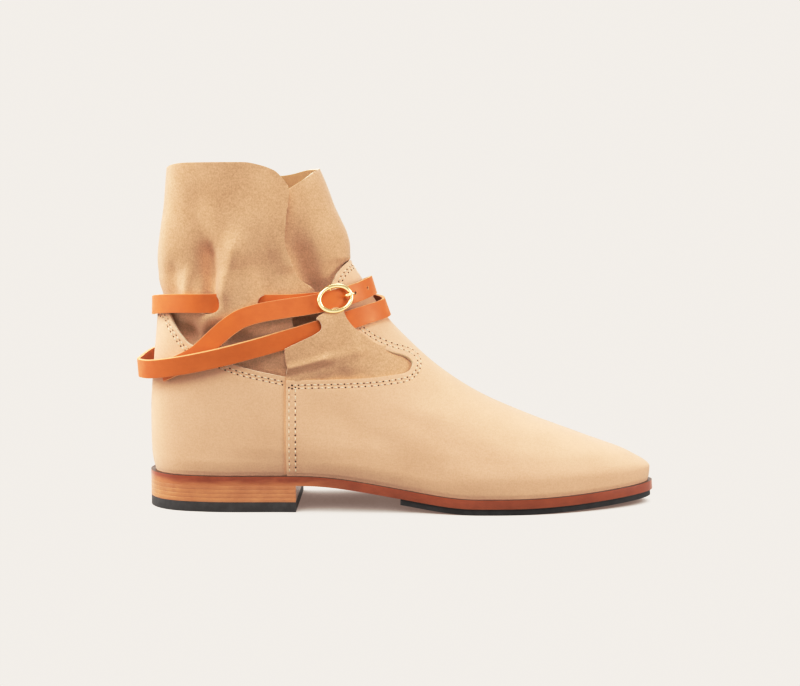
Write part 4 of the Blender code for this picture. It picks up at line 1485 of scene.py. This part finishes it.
def build_stitches():
    vamp_rows = []
    visible = VAMP_PATH[VAMP_PATH[:, 0] > SEAM_FOOT_X]
    for distance in SEAM_ROWS:
        row = shifted_path(visible, -distance)
        row = row[row[:, 0] > SEAM_TOP_X + SIDE_SEAM_ROWS[0]]
        vamp_rows += on_both_sides(SEAM_DEPTH, *outer_side(row[:, 0], row[:, 1]))
    for distance in SIDE_SEAM_ROWS:
        level = np.linspace(*SIDE_SEAM_LEVELS, 60)
        vamp_rows += on_both_sides(SIDE_SEAM_DEPTH, level, turn_at(level, seam_x(level) + distance))
    add_stitches("vamp", vamp_rows)
    add_stitches("counter", [counter_row(distance) for distance in SEAM_ROWS])


def set_tones(view):
    """Plain colours with the photograph's gentle contrast."""
    view.view_transform = "Standard"
    view.use_curve_mapping = True
    whole = view.curve_mapping.curves[3]
    whole.points[0].location = TONES[0]
    whole.points[1].location = TONES[-1]
    for place in TONES[1:-1]:
        whole.points.new(*place)
    view.curve_mapping.update()


def build_floor():
    """Pale floor that sweeps up behind, shown in its own colour, with a painted shadow where the boot covers
    it.
    """
    material, tree, shader, _ = new_material("studio_floor")
    rays = add_node(tree, "LightPath").outputs
    # Painted shadow: the floor's glow dims towards FLOOR_SHADE where the boot covers it
    cover = add_node(tree, "AmbientOcclusion", Distance=FLOOR_SHADE_REACH)
    open_air = add_range(tree, cover.outputs["AO"], *FLOOR_COVER)
    settle(
        shader,
        Base_Color=add_mix(tree, rays["Is Camera Ray"], FLOOR_BOUNCE, (0.0, 0.0, 0.0)),
        Emission_Color=add_mix(tree, open_air, FLOOR_SHADE, FLOOR_COLOUR),
        Emission_Strength=add_math(tree, "ADD", rays["Is Camera Ray"], rays["Is Glossy Ray"]),
        Roughness=0.9,
        Specular_IOR_Level=0.0,
    )
    profile = [(FLOOR_FRONT, 0.0)]
    for angle in np.linspace(0.0, 0.5 * math.pi, SWEEP_STEPS + 1):
        profile.append((SWEEP_START + SWEEP_RADIUS * math.sin(angle), SWEEP_RADIUS * (1.0 - math.cos(angle))))
    profile.append((SWEEP_START + SWEEP_RADIUS, SWEEP_TOP))
    sweep = bmesh.new()
    line = [sweep.verts.new((-FLOOR_HALF_WIDTH, y, z)) for y, z in profile]
    edges = [sweep.edges.new(pair) for pair in zip(line, line[1:])]
    moved = bmesh.ops.extrude_edge_only(sweep, edges=edges)
    verts = [item for item in moved["geom"] if isinstance(item, bmesh.types.BMVert)]
    bmesh.ops.translate(sweep, vec=(2.0 * FLOOR_HALF_WIDTH, 0.0, 0.0), verts=verts)
    bmesh.ops.recalc_face_normals(sweep, faces=sweep.faces)
    mesh = finished_mesh("studio_floor", sweep)
    mesh.materials.append(material)
    mesh.shade_smooth()
    put_in_scene("studio_floor", mesh)


def aim_at(holder, place, target):
    holder.location = place
    holder.rotation_euler = (Vector(target) - Vector(place)).to_track_quat("-Z", "Y").to_euler()


def build_lights():
    for name, place, target, size, energy, colour in LIGHTS:
        lamp = bpy.data.lights.new(name, "AREA")
        lamp.size = size
        lamp.energy = energy
        lamp.color = colour
        aim_at(put_in_scene(name, lamp), place, target)
    sky = bpy.data.worlds.new("studio_air")
    sky.use_nodes = True
    air = sky.node_tree
    rays = add_node(air, "LightPath").outputs
    glow = add_range(air, rays["Is Glossy Ray"], 0.0, 1.0, AIR_GLOW, AIR_MIRRORED)
    seen = add_math(air, "MULTIPLY", rays["Is Camera Ray"], AIR_SEEN)
    settle(air.nodes["Background"], Color=AIR_COLOUR, Strength=add_math(air, "ADD", glow, seen))
    bpy.context.scene.world = sky


def build_camera():
    camera = bpy.data.cameras.new("camera")
    camera.lens = CAMERA_LENS
    camera.sensor_width = 36.0
    holder = put_in_scene("camera", camera)
    place = world((CAMERA_X, -CAMERA_DISTANCE, CAMERA_HEIGHT))
    aim_at(holder, place, world((CAMERA_X, 0.0, AIM_HEIGHT)))
    bpy.context.scene.camera = holder
    set_tones(bpy.context.scene.view_settings)


build_soles()
build_counter()
build_vamp()
build_shaft()
build_flap()
build_strap()
build_buckle()
build_stitches()
build_floor()
build_lights()
build_camera()

bpy.context.view_layer.update()
